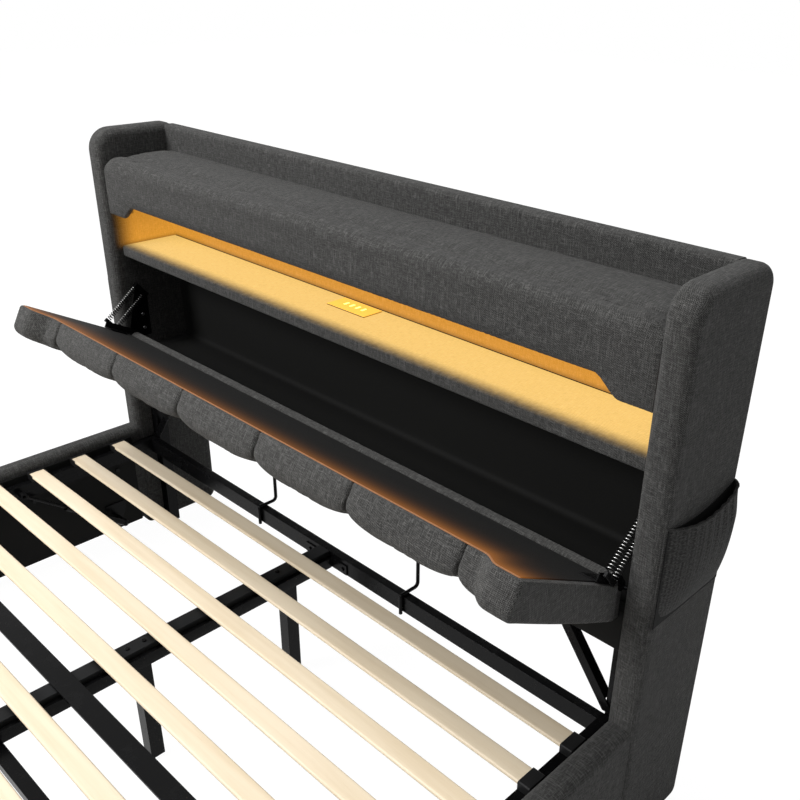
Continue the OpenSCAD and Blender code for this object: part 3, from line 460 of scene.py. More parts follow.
def spring_wire(name):
    """Blackened spring wire with a painted glint on each coil: bright metal spots where a point attribute marks
    them.
    """
    f = Finish(name, Specular_IOR_Level=0.25)
    x, y, z = f.place()
    film = f.noise(f.vector(x, y, z), scale=160.0, detail=2)
    crown = f.node("ShaderNodeAttribute", {"attribute_name": "crown"}, output=2)
    # Painted glint: the marked spots turn to bright metal
    glint_amount = crown * (0.8 + film * 0.4)
    base = f.blend(glint_amount, (0.004, 0.004, 0.004, 1), (0.68, 0.68, 0.67, 1))
    f.feed(Base_Color=base, Metallic=glint_amount.at_most(1.0), Roughness=0.22 + film * 0.10,
           Normal=f.bump(film, 0.00004))
    return f.material


def birch_wood(name, colour):
    """Pale birch: long soft figure along the slat, fine pores and a satin lacquer."""
    f = Finish(name, Specular_IOR_Level=0.35, Coat_Weight=0.08, Coat_Roughness=0.4)
    x, y, z = f.place()
    figure = f.noise(f.vector(x * 2.2, y * 42, z * 30), detail=4, roughness=0.55)
    rays = (f.noise(f.vector(x * 1.2, y * 9, z * 9), detail=2) * 30 + y * 140).sine() * 0.5 + 0.5
    pores = f.noise(f.vector(x * 30, y * 900, z * 500), detail=2).rise(0.60, 0.78)
    board = f.noise(f.vector(0.0, y * 3.3, 7.0), detail=0)
    shade = figure.rise(0.35, 0.75) * 0.42 + rays * 0.10 + pores * 0.20 + board * 0.26
    base = f.blend(shade, rgba(colour, 1.05), tinted(colour, (0.80, 0.73, 0.62)))
    f.feed(Base_Color=base, Roughness=0.44 + pores * 0.2 + figure * 0.08,
           Normal=f.bump(figure * 0.6 - pores, 0.00012))
    return f.material


def moulded(name, colour, roughness):
    """Moulded plastic with a fine spark-eroded grain."""
    f = Finish(name, Specular_IOR_Level=0.14)
    x, y, z = f.place()
    pit = f.noise(f.vector(x, y, z), scale=650.0, detail=3)
    smear = f.noise(f.vector(x, y, z), scale=18.0, detail=3)
    base = f.blend(smear * 0.5, rgba(colour), rgba([c * 1.6 + 0.004 for c in colour]))
    f.feed(Base_Color=base, Roughness=roughness + smear * 0.14, Normal=f.bump(pit, 0.00008))
    return f.material


def lit_plastic(name, colour, strength):
    """Glowing plastic, as emission: the light strip's own diffuser, and painted glow on the plastic that the strip
    shines on.
    """
    f = Finish(name, Roughness=0.3, Specular_IOR_Level=0.5, Emission_Strength=strength)
    x, y, z = f.place()
    haze = f.noise(f.vector(x * 20, y * 60, z * 60), detail=2)
    f.feed(Base_Color=f.blend(haze, rgba(colour, 0.7), rgba(colour)),
           Emission_Color=f.blend(haze * 0.4, rgba(colour), rgba(colour, 0.75)),
           Roughness=0.26 + haze * 0.15)
    return f.material


def panel_plastic(name, colour):
    """The charging panel: the light strip's amber glow painted on its top as emission, with painted shade, dark
    along its front edge and brown along its other sides.
    """
    low, high = corners("charging_panel")
    front_y, top_z = float(low[1]), float(high[2])
    f = Finish(name, Roughness=0.3, Specular_IOR_Level=0.5, Emission_Strength=0.82)
    x, y, z = f.place()
    haze = f.noise(f.vector(x * 20, y * 60, z * 60), detail=2)
    # Painted shade: the sides below the top face, and darker still along the front edge
    edge = z.rise(top_z - 0.0004, top_z - 0.0010)
    front = edge * y.rise(front_y + 0.0016, front_y + 0.0006)
    top = f.blend(haze * 0.4 + 0.1, rgba(colour), rgba(colour, 0.75))
    # The painted glow as emission: amber on top, painted shade brown on the sides and nearly black at the front
    lit = f.blend(front, f.blend(edge, top, (0.40, 0.18, 0.01, 1)), (0.07, 0.022, 0.001, 1))
    # Painted shade in the base colour too: the sides are brown
    base = f.blend(edge, rgba(colour, 0.8), (0.06, 0.03, 0.01, 1))
    f.feed(Base_Color=base, Emission_Color=lit, Roughness=0.26 + haze * 0.15)
    return f.material


def plywood(name):
    """Plywood faces with brown figure."""
    f = Finish(name, Specular_IOR_Level=0.3)
    x, y, z = f.place()
    figure = f.noise(f.vector(x * 3, y * 25, z * 25), detail=4)
    base = f.blend(figure, (0.36, 0.24, 0.13, 1), (0.52, 0.39, 0.24, 1))
    f.feed(Base_Color=base, Roughness=0.6 + figure * 0.2, Normal=f.bump(figure, 0.0002))
    return f.material


def settings_of(context):
    """The bed's sizes and colours."""
    return context.scene.bed_sizes, context.scene.bed_colours


FINISHES = {}


def finish_of(name, context):
    """The named finish, made the first time that it is asked for."""
    if name in FINISHES:
        return FINISHES[name]
    settings = settings_of(context)
    colours = settings[1]
    makers = {
        "cloth": lambda: linen("charcoal_linen", settings, painted_niche_glow(colours)),
        "shelf": lambda: linen("charcoal_linen_shelf", settings, painted_shelf_glow(colours)),
        # The flap's and the lip's cloth are lighter copies of the same linen: painted light, for the light that they
        # catch
        "flap": lambda: linen("charcoal_linen_flap_painted_light", settings, level=1.2),
        "lip": lambda: linen("charcoal_linen_lip_painted_light", settings, level=1.15),
        "lining": lambda: lining_cloth("black_lining", colours),
        "flap_lining": lambda: lining_cloth("black_lining_flap", colours, level=0.46, rim=True),
        "welt": lambda: welt_painted_glow("welt_painted_glow"),
        "pocket": lambda: mesh_cloth("pocket_mesh", colours),
        # The pocket's black lining, much darker than the box's: partly real lining, partly painted shade inside the
        # pocket's mouth
        "pocket_shade_lining": lambda: lining_cloth("black_pocket_lining", colours, level=0.3),
        "piping": lambda: linen("charcoal_binding", settings, level=0.6),
        "steel": lambda: coated_steel("black_powder_coat", colours.steel),
        "strip": lambda: coated_steel("grey_powder_coat", (0.0095, 0.0097, 0.0102), 0.45),
        "bright": lambda: bright_metal("bright_steel", (0.62, 0.62, 0.64), 0.18, FRONT_Y),
        "spring": lambda: spring_wire("spring_wire"),
        "birch": lambda: birch_wood("pale_birch", colours.birch),
        "plastic": lambda: moulded("black_plastic", (0.006, 0.006, 0.0062), 0.42),
        "panel": lambda: panel_plastic("amber_panel", (0.96, 0.55, 0.09)),
        "shutter": lambda: lit_plastic("pale_shutter_painted_glow", (1.0, 0.86, 0.36), 0.95),
        "light": lambda: lit_plastic("light_strip", (1.0, 0.72, 0.30), 2.4),
        "board": lambda: plywood("plywood"),
    }
    FINISHES[name] = makers[name]()
    return FINISHES[name]


# Meshes


def grid_faces(rows, columns, wrap=False):
    """Quads of a grid of points, row by row; wrap joins each row's last point to its first."""
    i = np.arange(rows - 1)[:, None]
    j = np.arange(columns if wrap else columns - 1)[None, :]
    k = (j + 1) % columns
    quads = [i * columns + j, (i + 1) * columns + j, (i + 1) * columns + k, i * columns + k]
    return np.stack([np.broadcast_to(q, (rows - 1, j.size)) for q in quads], -1).reshape(-1, 4)


def capped_faces(rings, sides):
    """Faces of a closed tube as lists: quads between its rings, and one face over each end."""
    last = (rings - 1) * sides
    caps = [list(range(sides)), list(range(last, last + sides))]
    return grid_faces(rings, sides, wrap=True).tolist() + caps


def shell_faces(rows, columns):
    """Quads of two layers of a grid, the second one turned round, and of the wall that joins their borders."""
    offset = rows * columns
    quads = grid_faces(rows, columns)
    ids = np.arange(offset).reshape(rows, columns)
    border = np.concatenate([ids[0, :-1], ids[:-1, -1], ids[-1, :0:-1], ids[:0:-1, 0]])
    ahead = np.roll(border, -1)
    wall = np.stack([border, ahead, ahead + offset, border + offset], -1)
    return np.concatenate([quads, quads[:, ::-1] + offset, wall])


def unit(rows):
    """Each row's direction, of length 1."""
    return rows / np.linalg.norm(rows, axis=1, keepdims=True)


def tube(path, outward, sideways, radius):
    """A ring of eight points round each point of a path, in the plane of two directions that are square to it."""
    a = ROUND[None, :, None]
    return path[:, None] + radius * (np.cos(a) * outward[:, None] + np.sin(a) * sideways[:, None])


def joined(parts):
    """The points and the faces of several (points, faces) parts as those of one mesh."""
    points, faces, offset = [], [], 0
    for p, q in parts:
        points.append(np.asarray(p, float).reshape(-1, 3))
        faces += [[i + offset for i in face] for face in (q.tolist() if isinstance(q, np.ndarray) else q)]
        offset += len(points[-1])
    return np.concatenate(points), faces


def face_outwards(mesh, weld=0.0, fill=False):
    """Turns a closed mesh's faces outwards, after welding points closer than weld and filling its openings."""
    shape = bmesh.new()
    shape.from_mesh(mesh)
    if weld:
        bmesh.ops.remove_doubles(shape, verts=shape.verts, dist=weld)
    if fill:
        bmesh.ops.holes_fill(shape, edges=[e for e in shape.edges if e.is_boundary], sides=0)
    bmesh.ops.recalc_face_normals(shape, faces=shape.faces)
    shape.to_mesh(mesh)
    shape.free()


def new_mesh(name, points, faces, weld=0.0, fill=False, laid=None, **marks):
    """A mesh that faces outwards: laid is each corner's place on the cloth, and marks are values of its points."""
    mesh = bpy.data.meshes.new(name)
    faces = faces.tolist() if isinstance(faces, np.ndarray) else faces
    mesh.from_pydata(points.reshape(-1, 3).tolist(), [], faces)
    if laid is not None:
        mesh.uv_layers.new(name="weave").data.foreach_set("uv", laid.astype(np.float32).ravel())
    for mark, values in marks.items():
        layer = mesh.attributes.new(mark, "FLOAT", "POINT")
        layer.data.foreach_set("value", values.astype(np.float32))
    face_outwards(mesh, weld, fill)
    return mesh


def points_of(mesh):
    """A mesh's points as rows."""
    points = np.empty(len(mesh.vertices) * 3)
    mesh.vertices.foreach_get("co", points)
    return points.reshape(-1, 3)


def box_uv(mesh):
    """Lays the weave on a mesh: each face takes the two axes that it faces least, in metres."""
    owner = np.empty(len(mesh.loops), int)
    mesh.loops.foreach_get("vertex_index", owner)
    normals = np.empty(len(mesh.polygons) * 3)
    mesh.polygons.foreach_get("normal", normals)
    sizes = np.empty(len(mesh.polygons), int)
    mesh.polygons.foreach_get("loop_total", sizes)
    main = np.repeat(np.abs(normals.reshape(-1, 3)).argmax(1), sizes)
    co = points_of(mesh)[owner]
    u = np.where(main == 0, co[:, 1], co[:, 0])
    v = np.where(main == 2, co[:, 1], co[:, 2])
    layer = mesh.uv_layers.get("weave") or mesh.uv_layers.new(name="weave")
    layer.data.foreach_set("uv", np.stack([u, v], -1).astype(np.float32).ravel())


def add_piece(name, parts, material, body, replaces=(), smooth=40):
    """Makes one welded piece from (points, faces) parts, facing outwards, at the origin, riding on a body."""
    points, faces = joined(parts)
    mesh = bpy.data.meshes.new(name)
    mesh.from_pydata(points.tolist(), [], faces)
    shape = bmesh.new()
    shape.from_mesh(mesh)
    bmesh.ops.remove_doubles(shape, verts=shape.verts, dist=2e-5)
    bmesh.ops.dissolve_degenerate(shape, edges=shape.edges, dist=1e-6)
    bmesh.ops.recalc_face_normals(shape, faces=shape.faces)
    shape.to_mesh(mesh)
    shape.free()
    return finish_piece(name, mesh, material, body, replaces, smooth)


def finish_piece(name, mesh, material, body, replaces=(), smooth=40):
    """Gives a mesh its weave, shading and material, and puts it on its body."""
    if "weave" not in mesh.uv_layers:
        box_uv(mesh)
    mesh.shade_smooth()
    mesh.set_sharp_from_angle(angle=math.radians(smooth))
    mesh.materials.clear()
    mesh.materials.append(material)
    piece = bpy.data.objects.new(name, mesh)
    bpy.context.scene.collection.objects.link(piece)
    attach(piece, body)
    if replaces:
        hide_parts(*replaces)
    return piece


def smooth_step(t):
    """0 up to t = 0, 1 from t = 1 and a smooth rise between them."""
    t = np.clip(t, 0, 1)
    return t * t * (3 - 2 * t)


def arc(centre, radius, start, end, count):
    """Points of a circle's arc, angles in degrees."""
    a = np.radians(np.linspace(start, end, count))
    return np.stack([centre[0] + radius * np.cos(a), centre[1] + radius * np.sin(a)], -1)


def round_outline(width, height, radii, inset, steps=7, side=14):
    """A rectangle from (0, 0) to (width, height) with a radius at each corner, drawn in by inset.

    The radii stand low-left, low-right, top-right, top-left; each side has the same number of points at any inset.
    """
    low, w, h = inset, width - inset, height - inset
    r = [max(radius - inset, 1e-4) for radius in radii]
    limit = max(min(w - low, h - low) / 2, 1e-4)
    r = [min(k, limit) for k in r]
    bends = [
        arc((low + r[0], low + r[0]), r[0], 180, 270, steps),
        arc((w - r[1], low + r[1]), r[1], 270, 360, steps),
        arc((w - r[2], h - r[2]), r[2], 0, 90, steps),
        arc((low + r[3], h - r[3]), r[3], 90, 180, steps),
    ]
    share = np.linspace(0, 1, side + 2)[1:-1, None]
    rows = []
    for k, bend in enumerate(bends):
        ahead = bends[(k + 1) % 4][0]
        rows += [bend, bend[-1] + (ahead - bend[-1]) * share]
    return np.concatenate(rows)


def board_profile(low, high, axes, radii, steps, side):
    """The rounded outline of a board's section, on two of its axes, between its lowest and highest corner."""
    a, b = axes
    return round_outline(high[a] - low[a], high[b] - low[b], radii, 0, steps, side) + [low[a], low[b]]


def slab(width, height, thick, radii, soft, steps, side):
    """A padded board: rings of its rounded outline, drawn in as they go round its soft edge to each face's middle.

    Returns points (outline a, outline b, thickness c) and faces.
    """
    turn = np.radians(np.linspace(0, 90, 8))
    reach = min(width, height) / 2 - 2e-5
    # Rings lie close together where the soft edge meets the flat face
    flat = np.concatenate([soft + np.array([0.001, 0.002, 0.003, 0.004, 0.006, 0.009, 0.014]),
                           np.linspace(soft + 0.02, reach, 9)])
    insets = np.concatenate([soft * (1 - np.cos(turn)), flat])
    heights = np.concatenate([thick / 2 - soft + soft * np.sin(turn), np.full(len(flat), thick / 2)])
    outlines = np.stack([round_outline(width, height, radii, i, steps, side) for i in insets])
    half = np.concatenate([outlines, np.broadcast_to(heights[:, None, None], (*outlines.shape[:2], 1))], -1)
    other = half.copy()
    other[..., 2] *= -1
    rings = np.concatenate([half[::-1], other])
    return rings.reshape(-1, 3), grid_faces(len(rings), rings.shape[1], wrap=True)


def sweep(profile, stations, place):
    """A closed profile carried along stations; place(a, b, s) puts point (a, b) at station s. Fans close its ends.

    Returns points, faces and each face corner's place on the cloth: the station and the length round the profile.
    """
    a, b = profile[:, 0], profile[:, 1]
    rings = np.stack([place(a, b, np.full(len(a), s)) for s in stations])
    rows, columns = rings.shape[:2]
    faces = grid_faces(rows, columns, wrap=True).tolist()
    round_it = np.linalg.norm(np.diff(profile, axis=0, append=profile[:1]), axis=1)
    lengths = np.concatenate([[0], np.cumsum(round_it)])
    i = np.repeat(np.arange(rows - 1), columns)
    j = np.tile(np.arange(columns), rows - 1)
    where = [(i, j), (i + 1, j), (i + 1, j + 1), (i, j + 1)]
    laid = np.stack([np.stack([np.asarray(stations)[r], lengths[c]], -1) for r, c in where], 1).reshape(-1, 2)
    centres = rings[[0, -1]].mean(1)
    points = np.concatenate([rings.reshape(-1, 3), centres])
    first, last = rows * columns, rows * columns + 1
    flat = np.concatenate([profile, [profile.mean(0)]])
    fans, fan_laid = [], []
    for i, j in [(k, (k + 1) % columns) for k in range(columns)]:
        fans += [[j, i, first], [(rows - 1) * columns + i, (rows - 1) * columns + j, last]]
        fan_laid += [flat[j], flat[i], flat[-1], flat[i], flat[j], flat[-1]]
    return points, faces + fans, np.concatenate([laid, fan_laid])


def add_sweep(name, profile, stations, place, material, body, replaces=(), smooth=40):
    """Makes one piece from a profile carried along stations."""
    points, faces, laid = sweep(profile, stations, place)
    mesh = new_mesh(name, points, faces, weld=1e-6, laid=laid)
    return finish_piece(name, mesh, material, body, replaces, smooth)


def along_x(a, b, s):
    """A profile in y and z at a station in x."""
    return np.stack([s, a, b], -1)


def along_y(a, b, s):
    """A profile in x and z at a station in y."""
    return np.stack([a, s, b], -1)


def mirrored(points):
    """The points of the other side of the bed."""
    return points * np.array([-1.0, 1.0, 1.0])


def from_node(node, material, bevel=0.0008, segments=2, smooth=35):
    """A merged copy of a CAD node with small rounded edges, which stands for it."""
    mesh = frame["nodes"][node].data.copy()
    mesh.name = node + "_shape"
    shape = bmesh.new()
    shape.from_mesh(mesh)
    bmesh.ops.remove_doubles(shape, verts=shape.verts, dist=1e-6)
    bmesh.ops.dissolve_limit(shape, angle_limit=FLAT_ANGLE, verts=shape.verts, edges=shape.edges)
    shape.to_mesh(mesh)
    shape.free()
    body = frame["nodes"][node]["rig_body"]
    piece = finish_piece(node + "_shape", mesh, material, body, (node,), smooth)
    if bevel:
        rounding = piece.modifiers.new("rounding", "BEVEL")
        rounding.width = bevel
        rounding.segments = segments
        rounding.limit_method = "ANGLE"
        rounding.angle_limit = EDGE_ANGLE
        rounding.harden_normals = True
        rounding.use_clamp_overlap = True


def swell(piece, hold, cap, pressure=4.0, shrink=0.0):
    """Puffs a pad with a cloth simulation: held vertices stay, and no point moves further than cap."""
    mesh = piece.data
    rest = points_of(mesh)
    frames = 20
    group = piece.vertex_groups.new(name="held")
    for level in np.unique(np.round(hold, 1)):
        if level > 0:
            group.add(np.nonzero(np.round(hold, 1) == level)[0].tolist(), float(level), "REPLACE")
    cloth = piece.modifiers.new("swell", "CLOTH")
    s = cloth.settings
    s.quality = 4
    s.mass = 0.25
    s.use_pressure = True
    s.uniform_pressure_force = pressure
    s.effector_weights.gravity = 0.0
    s.vertex_group_mass = "held"
    s.shrink_min = -shrink
    s.tension_stiffness = 15
    s.compression_stiffness = 15
    s.bending_stiffness = 0.4
    cloth.point_cache.frame_start = 1
    cloth.point_cache.frame_end = frames
    cloth.collision_settings.use_collision = False
    cloth.collision_settings.use_self_collision = False
    scene = bpy.context.scene
    for step in range(1, frames + 1):
        scene.frame_set(step)
    result = piece.evaluated_get(bpy.context.evaluated_depsgraph_get())
    moved = points_of(result.to_mesh())
    result.to_mesh_clear()
    piece.modifiers.remove(cloth)
    scene.frame_set(1)
    delta = np.nan_to_num(moved - rest)
    length = np.linalg.norm(delta, axis=1, keepdims=True)
    delta = delta * (cap * np.tanh(length / cap) / np.maximum(length, 1e-9))
    mesh.vertices.foreach_set("co", (rest + delta).ravel())
    piece.vertex_groups.clear()
    mesh.update()


# Headboard


class BED_OT_wings(bpy.types.Operator):
    """Makes the two padded wings at the ends of the headboard"""

    bl_idname = "bed.wings"
    bl_label = "Wings"

    def execute(self, context):
        sizes = context.scene.bed_sizes
        # Foam and cloth stand out a few millimetres beyond the frame's plain board
        low, high = WING_LOW - [0.0015, 0.0020, 0], WING_HIGH + [0.0040, 0.0080, 0.0044]
        thick, depth, height = high - low
        corner_radii = [0.012, 0.026, 0.037, 0.052]
        points, faces = slab(depth, height, thick, corner_radii, sizes.wing_round, steps=10, side=60)
        y, z, x = points.T
        right = np.stack([x + (low[0] + high[0]) / 2, y + low[1], z + low[2]], -1)
        cloth = finish_of("cloth", context)
        for name, shape in (("right", right), ("left", mirrored(right))):
            piece = add_piece(f"wing_{name}_padding", [(shape, faces)], cloth, "root", [f"wing_{name}"])
        return {"FINISHED"}


class BED_OT_back(bpy.types.Operator):
    """Makes the headboard's upholstered back"""

    bl_idname = "bed.back"
    bl_label = "Back panel"

    def execute(self, context):
        low, high = corners("back_panel")
        # Foam and cloth stand out behind and above the board, and its ends reach into the wings' padding
        high = high + [0, 0.003, 0.0033]
        profile = board_profile(low, high, (1, 2), [0.006, 0.006, 0.010, 0.010], steps=9, side=40)
        overlap = 0.004
        stations = np.linspace(low[0] - overlap, high[0] + overlap, 60)
        add_sweep("back_panel_padding", profile, stations, along_x, finish_of("cloth", context), "root",
                  ["back_panel"])
        return {"FINISHED"}


def ledge_drop(x):
    """How far the ledge's top droops towards each wing: a parabola over its last stretch."""
    stretch, drop = 0.044, 0.018
    t = np.clip((np.abs(x) - INNER_X + stretch) / stretch, 0, 1)
    return drop * t ** 2


def valance_edge(x):
    """Height of the valance's lower edge: level, with an ogee down to an ear at each end."""
    level, ear_drop, ear_l = 0.924, 0.031, 0.052
    ear_x = INNER_X - 0.110
    return level - ear_drop * smooth_step((np.abs(x) - ear_x) / ear_l)


class BED_OT_ledge(bpy.types.Operator):
    """Makes the padded ledge and its valance, swelled by a cloth simulation"""

    bl_idname = "bed.ledge"
    bl_label = "Ledge"

    def execute(self, context):
        low, high = corners("ledge_pad")
        front, back = low[1], high[1]
        inside, ridge_y = front + 0.014, front + 0.046
        under = LEDGE_TOP - 0.020
        roll_r, hem_r, ridge_w = 0.020, 0.007, 0.020
        crown_h, ridge_h = 0.003, 0.0045
        dip_h, dip_w = 0.0025, 0.006
        end = INNER_X - 0.0004
        t = np.linspace(-1, 1, 261)
        x = end * (t + 0.02 * np.sin(np.pi * t))
        x = np.sort(np.concatenate([x, [-end + 0.001, -end + 0.003, end - 0.003, end - 0.001]]))
        top = LEDGE_TOP - ledge_drop(x)
        low_z = valance_edge(x)
        # The section's stretches of points for every x: skin over the top, ridge, roll, face, hem, inside, underside
        s = np.linspace(0, 1, 22)[:, None]
        skin_y = back + (ridge_y - back) * s
        dip = dip_h * np.exp(-((skin_y - ridge_y) / dip_w) ** 2)
        skin = (skin_y, top - 0.001 + crown_h * np.sin(np.pi * s) ** 0.6 - dip)
        s = np.linspace(0, 1, 7)[1:, None]
        ridge = (ridge_y - ridge_w * s, top - 0.0015 + ridge_h * np.sin(np.pi * s / 2))
        a = np.radians(np.linspace(75, 172, 8))[:, None]
        roll = (front + roll_r + roll_r * np.cos(a), top - 0.0175 + (roll_r + 0.0005) * np.sin(a))
        s = np.linspace(0.10, 0.94, 14)[:, None]
        face = (front, top - 0.018 + (low_z + 0.008 - top + 0.018) * s)
        a = np.radians(np.linspace(180, 360, 8))[:, None]
        hem = (front + hem_r + hem_r * np.cos(a), low_z + hem_r + hem_r * np.sin(a))
        s = np.linspace(0.1, 1, 12)[:, None]
        inner = (inside, low_z + hem_r + (under - low_z - hem_r) * s)
        s = np.linspace(0.05, 1, 18)[:, None]
        base = (inside + (back - inside) * s, under + 0 * top)
        runs = [np.broadcast_arrays(*run) for run in (skin, ridge, roll, face, hem, inner, base)]
        y, z = [np.concatenate([run[k] for run in runs]) for k in (0, 1)]
        count = len(y)
        rings = np.stack([np.broadcast_to(x, y.shape), y, z], -1).transpose(1, 0, 2)
        faces = grid_faces(len(x), count, wrap=True).tolist()
        # The flat ends: the outer skin's points are zipped to the inner skin's
        half = count // 2
        for row in (0, len(x) - 1):
            ids = (np.arange(count) + row * count).tolist()
            outer, inner_ids = ids[:half], ids[half:][::-1]
            faces += [[outer[k], outer[k + 1], inner_ids[k + 1], inner_ids[k]] for k in range(half - 1)]
        mesh = new_mesh("ledge_padding", rings, faces, fill=True)
        piece = finish_piece("ledge_padding", mesh, finish_of("cloth", context), "root", ["ledge_pad"], 60)
        # Held are the inside, the underside, the skin's rear edge and its seam before the ridge, and partly the hem
        rows = np.arange(count)
        ends = np.cumsum([len(run[0]) for run in runs])
        held = ((rows >= ends[4]) | (rows < 2) | (np.abs(rows - ends[0]) <= 1)).astype(float)
        held[ends[3]:ends[4]] = 0.7
        hold = np.maximum(held[None, :], (np.abs(x) > end - 0.002)[:, None]).ravel()
        swell(piece, hold, cap=0.0035, pressure=3.0, shrink=0.015)
        box_uv(piece.data)
        from_node("ledge_board", finish_of("cloth", context), 0.001)
        return {"FINISHED"}


class BED_OT_niche(bpy.types.Operator):
    """Makes the shelf with its painted glow, the light strip and the charging panel"""

    bl_idname = "bed.niche"
    bl_label = "Lit niche"

    def execute(self, context):
        low, high = corners("shelf")
        profile = board_profile(low, high, (1, 2), [0.004, 0.002, 0.002, 0.005], steps=7, side=12)
        add_sweep("shelf_cloth", profile, np.linspace(low[0], high[0], 60), along_x, finish_of("shelf", context),
                  "root", ["shelf"])
        from_node("led_strip", finish_of("light", context), 0.001)
        from_node("charging_panel", finish_of("panel", context), 0.0006, 3)
        from_node("charging_module", finish_of("plastic", context), 0.0008)
        # A pale shutter, glowing with painted light, closes each of the panel's four slots just under its top
        low, high = corners("charging_panel")
        slot_w, slot_l, slot_t, pitch = 0.0048, 0.0138, 0.0016, 0.018
        corner_r, soft, sunk = 0.0006, 0.0003, 0.0009
        middle_x = (low[0] + high[0]) / 2
        slot_y = low[1] + (high[1] - low[1]) * 0.55 - slot_l / 2
        points, faces = slab(slot_w, slot_l, slot_t, [corner_r] * 4, soft, steps=4, side=4)
        parts = [(points + [middle_x + pitch * k - slot_w / 2, slot_y, high[2] - sunk], faces)
                 for k in (-1.5, -0.5, 0.5, 1.5)]
        add_piece("charging_shutters", parts, finish_of("shutter", context), "root")
        return {"FINISHED"}


class BED_OT_storage_box(bpy.types.Operator):
    """Makes the storage box: floor, lining with a rounded corner, the cloth lip and the apron"""

    bl_idname = "bed.storage_box"
    bl_label = "Storage box"

    def execute(self, context):
        low, high = corners("box_lining")
        lining_t, bend_r = 0.002, 0.014
        front, back, floor, top = low[1], high[1], low[2], high[2]
        inner_y, inner_z = back - lining_t, floor + lining_t
        # The section goes along the floor, round the bend and up the back, and returns along its outer side
        section = np.concatenate([
            np.stack([np.linspace(front, inner_y - bend_r, 14), np.full(14, inner_z)], -1),
            arc((inner_y - bend_r, inner_z + bend_r), bend_r, 270, 360, 8)[1:],
            np.stack([np.full(20, inner_y), np.linspace(inner_z + bend_r, top, 21)[1:]], -1),
            [[back, top], [back, floor], [front, floor]],
        ])
        x = np.linspace(low[0], high[0], 40)[:, None]
        rings = np.stack(np.broadcast_arrays(x, *section.T), -1)
        lining = add_piece("box_lining_cloth", [(rings, grid_faces(*rings.shape[:2], wrap=True))],
                           finish_of("lining", context), "root", ["box_lining"])
        face_outwards(lining.data, fill=True)

        low, high = corners("box_lip")
        profile = board_profile(low, high, (1, 2), [0.003, 0.001, 0.003, LIP_R], steps=10, side=8)
        add_sweep("box_lip_cloth", profile, np.linspace(low[0], high[0], 50), along_x, finish_of("lip", context),
                  "root", ["box_lip"])
        low, high = corners("apron")
        profile = board_profile(low, high, (1, 2), [0.003, 0.003, 0.002, 0.002], steps=5, side=8)
        add_sweep("apron_panel", profile, np.linspace(low[0], high[0], 30), along_x, finish_of("lining", context),
                  "root", ["apron"])
        from_node("box_floor", finish_of("lining", context), 0.001)
        return {"FINISHED"}


# Flap


def on_flap(x, u, h):
    """A point of the open flap: x across the bed, u from the hinge end to the free edge, h above the inner face."""
    y = FLAP_END_Y - u * math.cos(TILT) + h * math.sin(TILT)
    z = FLAP_END_Z + u * math.sin(TILT) + h * math.cos(TILT)
    return np.stack(np.broadcast_arrays(x, y, z), -1)


def flap_edge(x):
    """Where the free edge lies: level in the middle, with an ogee out to an ear at each end."""
    return FLAP_L + EAR_REACH * smooth_step((np.abs(x) - EAR_X) / EAR_L)


def lobe(x):
    """0 at a seam, 0.5 midway between two and past the last seam's roll, so that each lobe swells alike."""
    last_rise = 0.120
    t = np.abs(x) / SEAM_PITCH + 0.5
    past = np.abs(x) - SEAMS[-1]
    return np.where(past > 0, np.minimum(0.5, past / last_rise), t - np.floor(t))


def pad_thickness(x):
    """Thin at the seams and thick at the crowns, rising steeply from each seam like a stuffed channel."""
    full = np.sqrt(np.clip(1 - np.abs(2 * lobe(x) - 1) ** 3, 0, 1))
    return PAD_SEAM_T + (PAD_CROWN_T - PAD_SEAM_T) * full


def to_seam(x):
    """Distance across the bed to the nearest seam."""
    return np.min([np.abs(np.abs(x) - s) for s in SEAMS], axis=0)


def side_roll(x, radius=0.008):
    """How far the edges draw in near the flap's ends: a quarter circle."""
    d = np.clip(radius - (FLAP_HALF - np.abs(x)), 0, radius)
    return radius - np.sqrt(radius ** 2 - d ** 2)


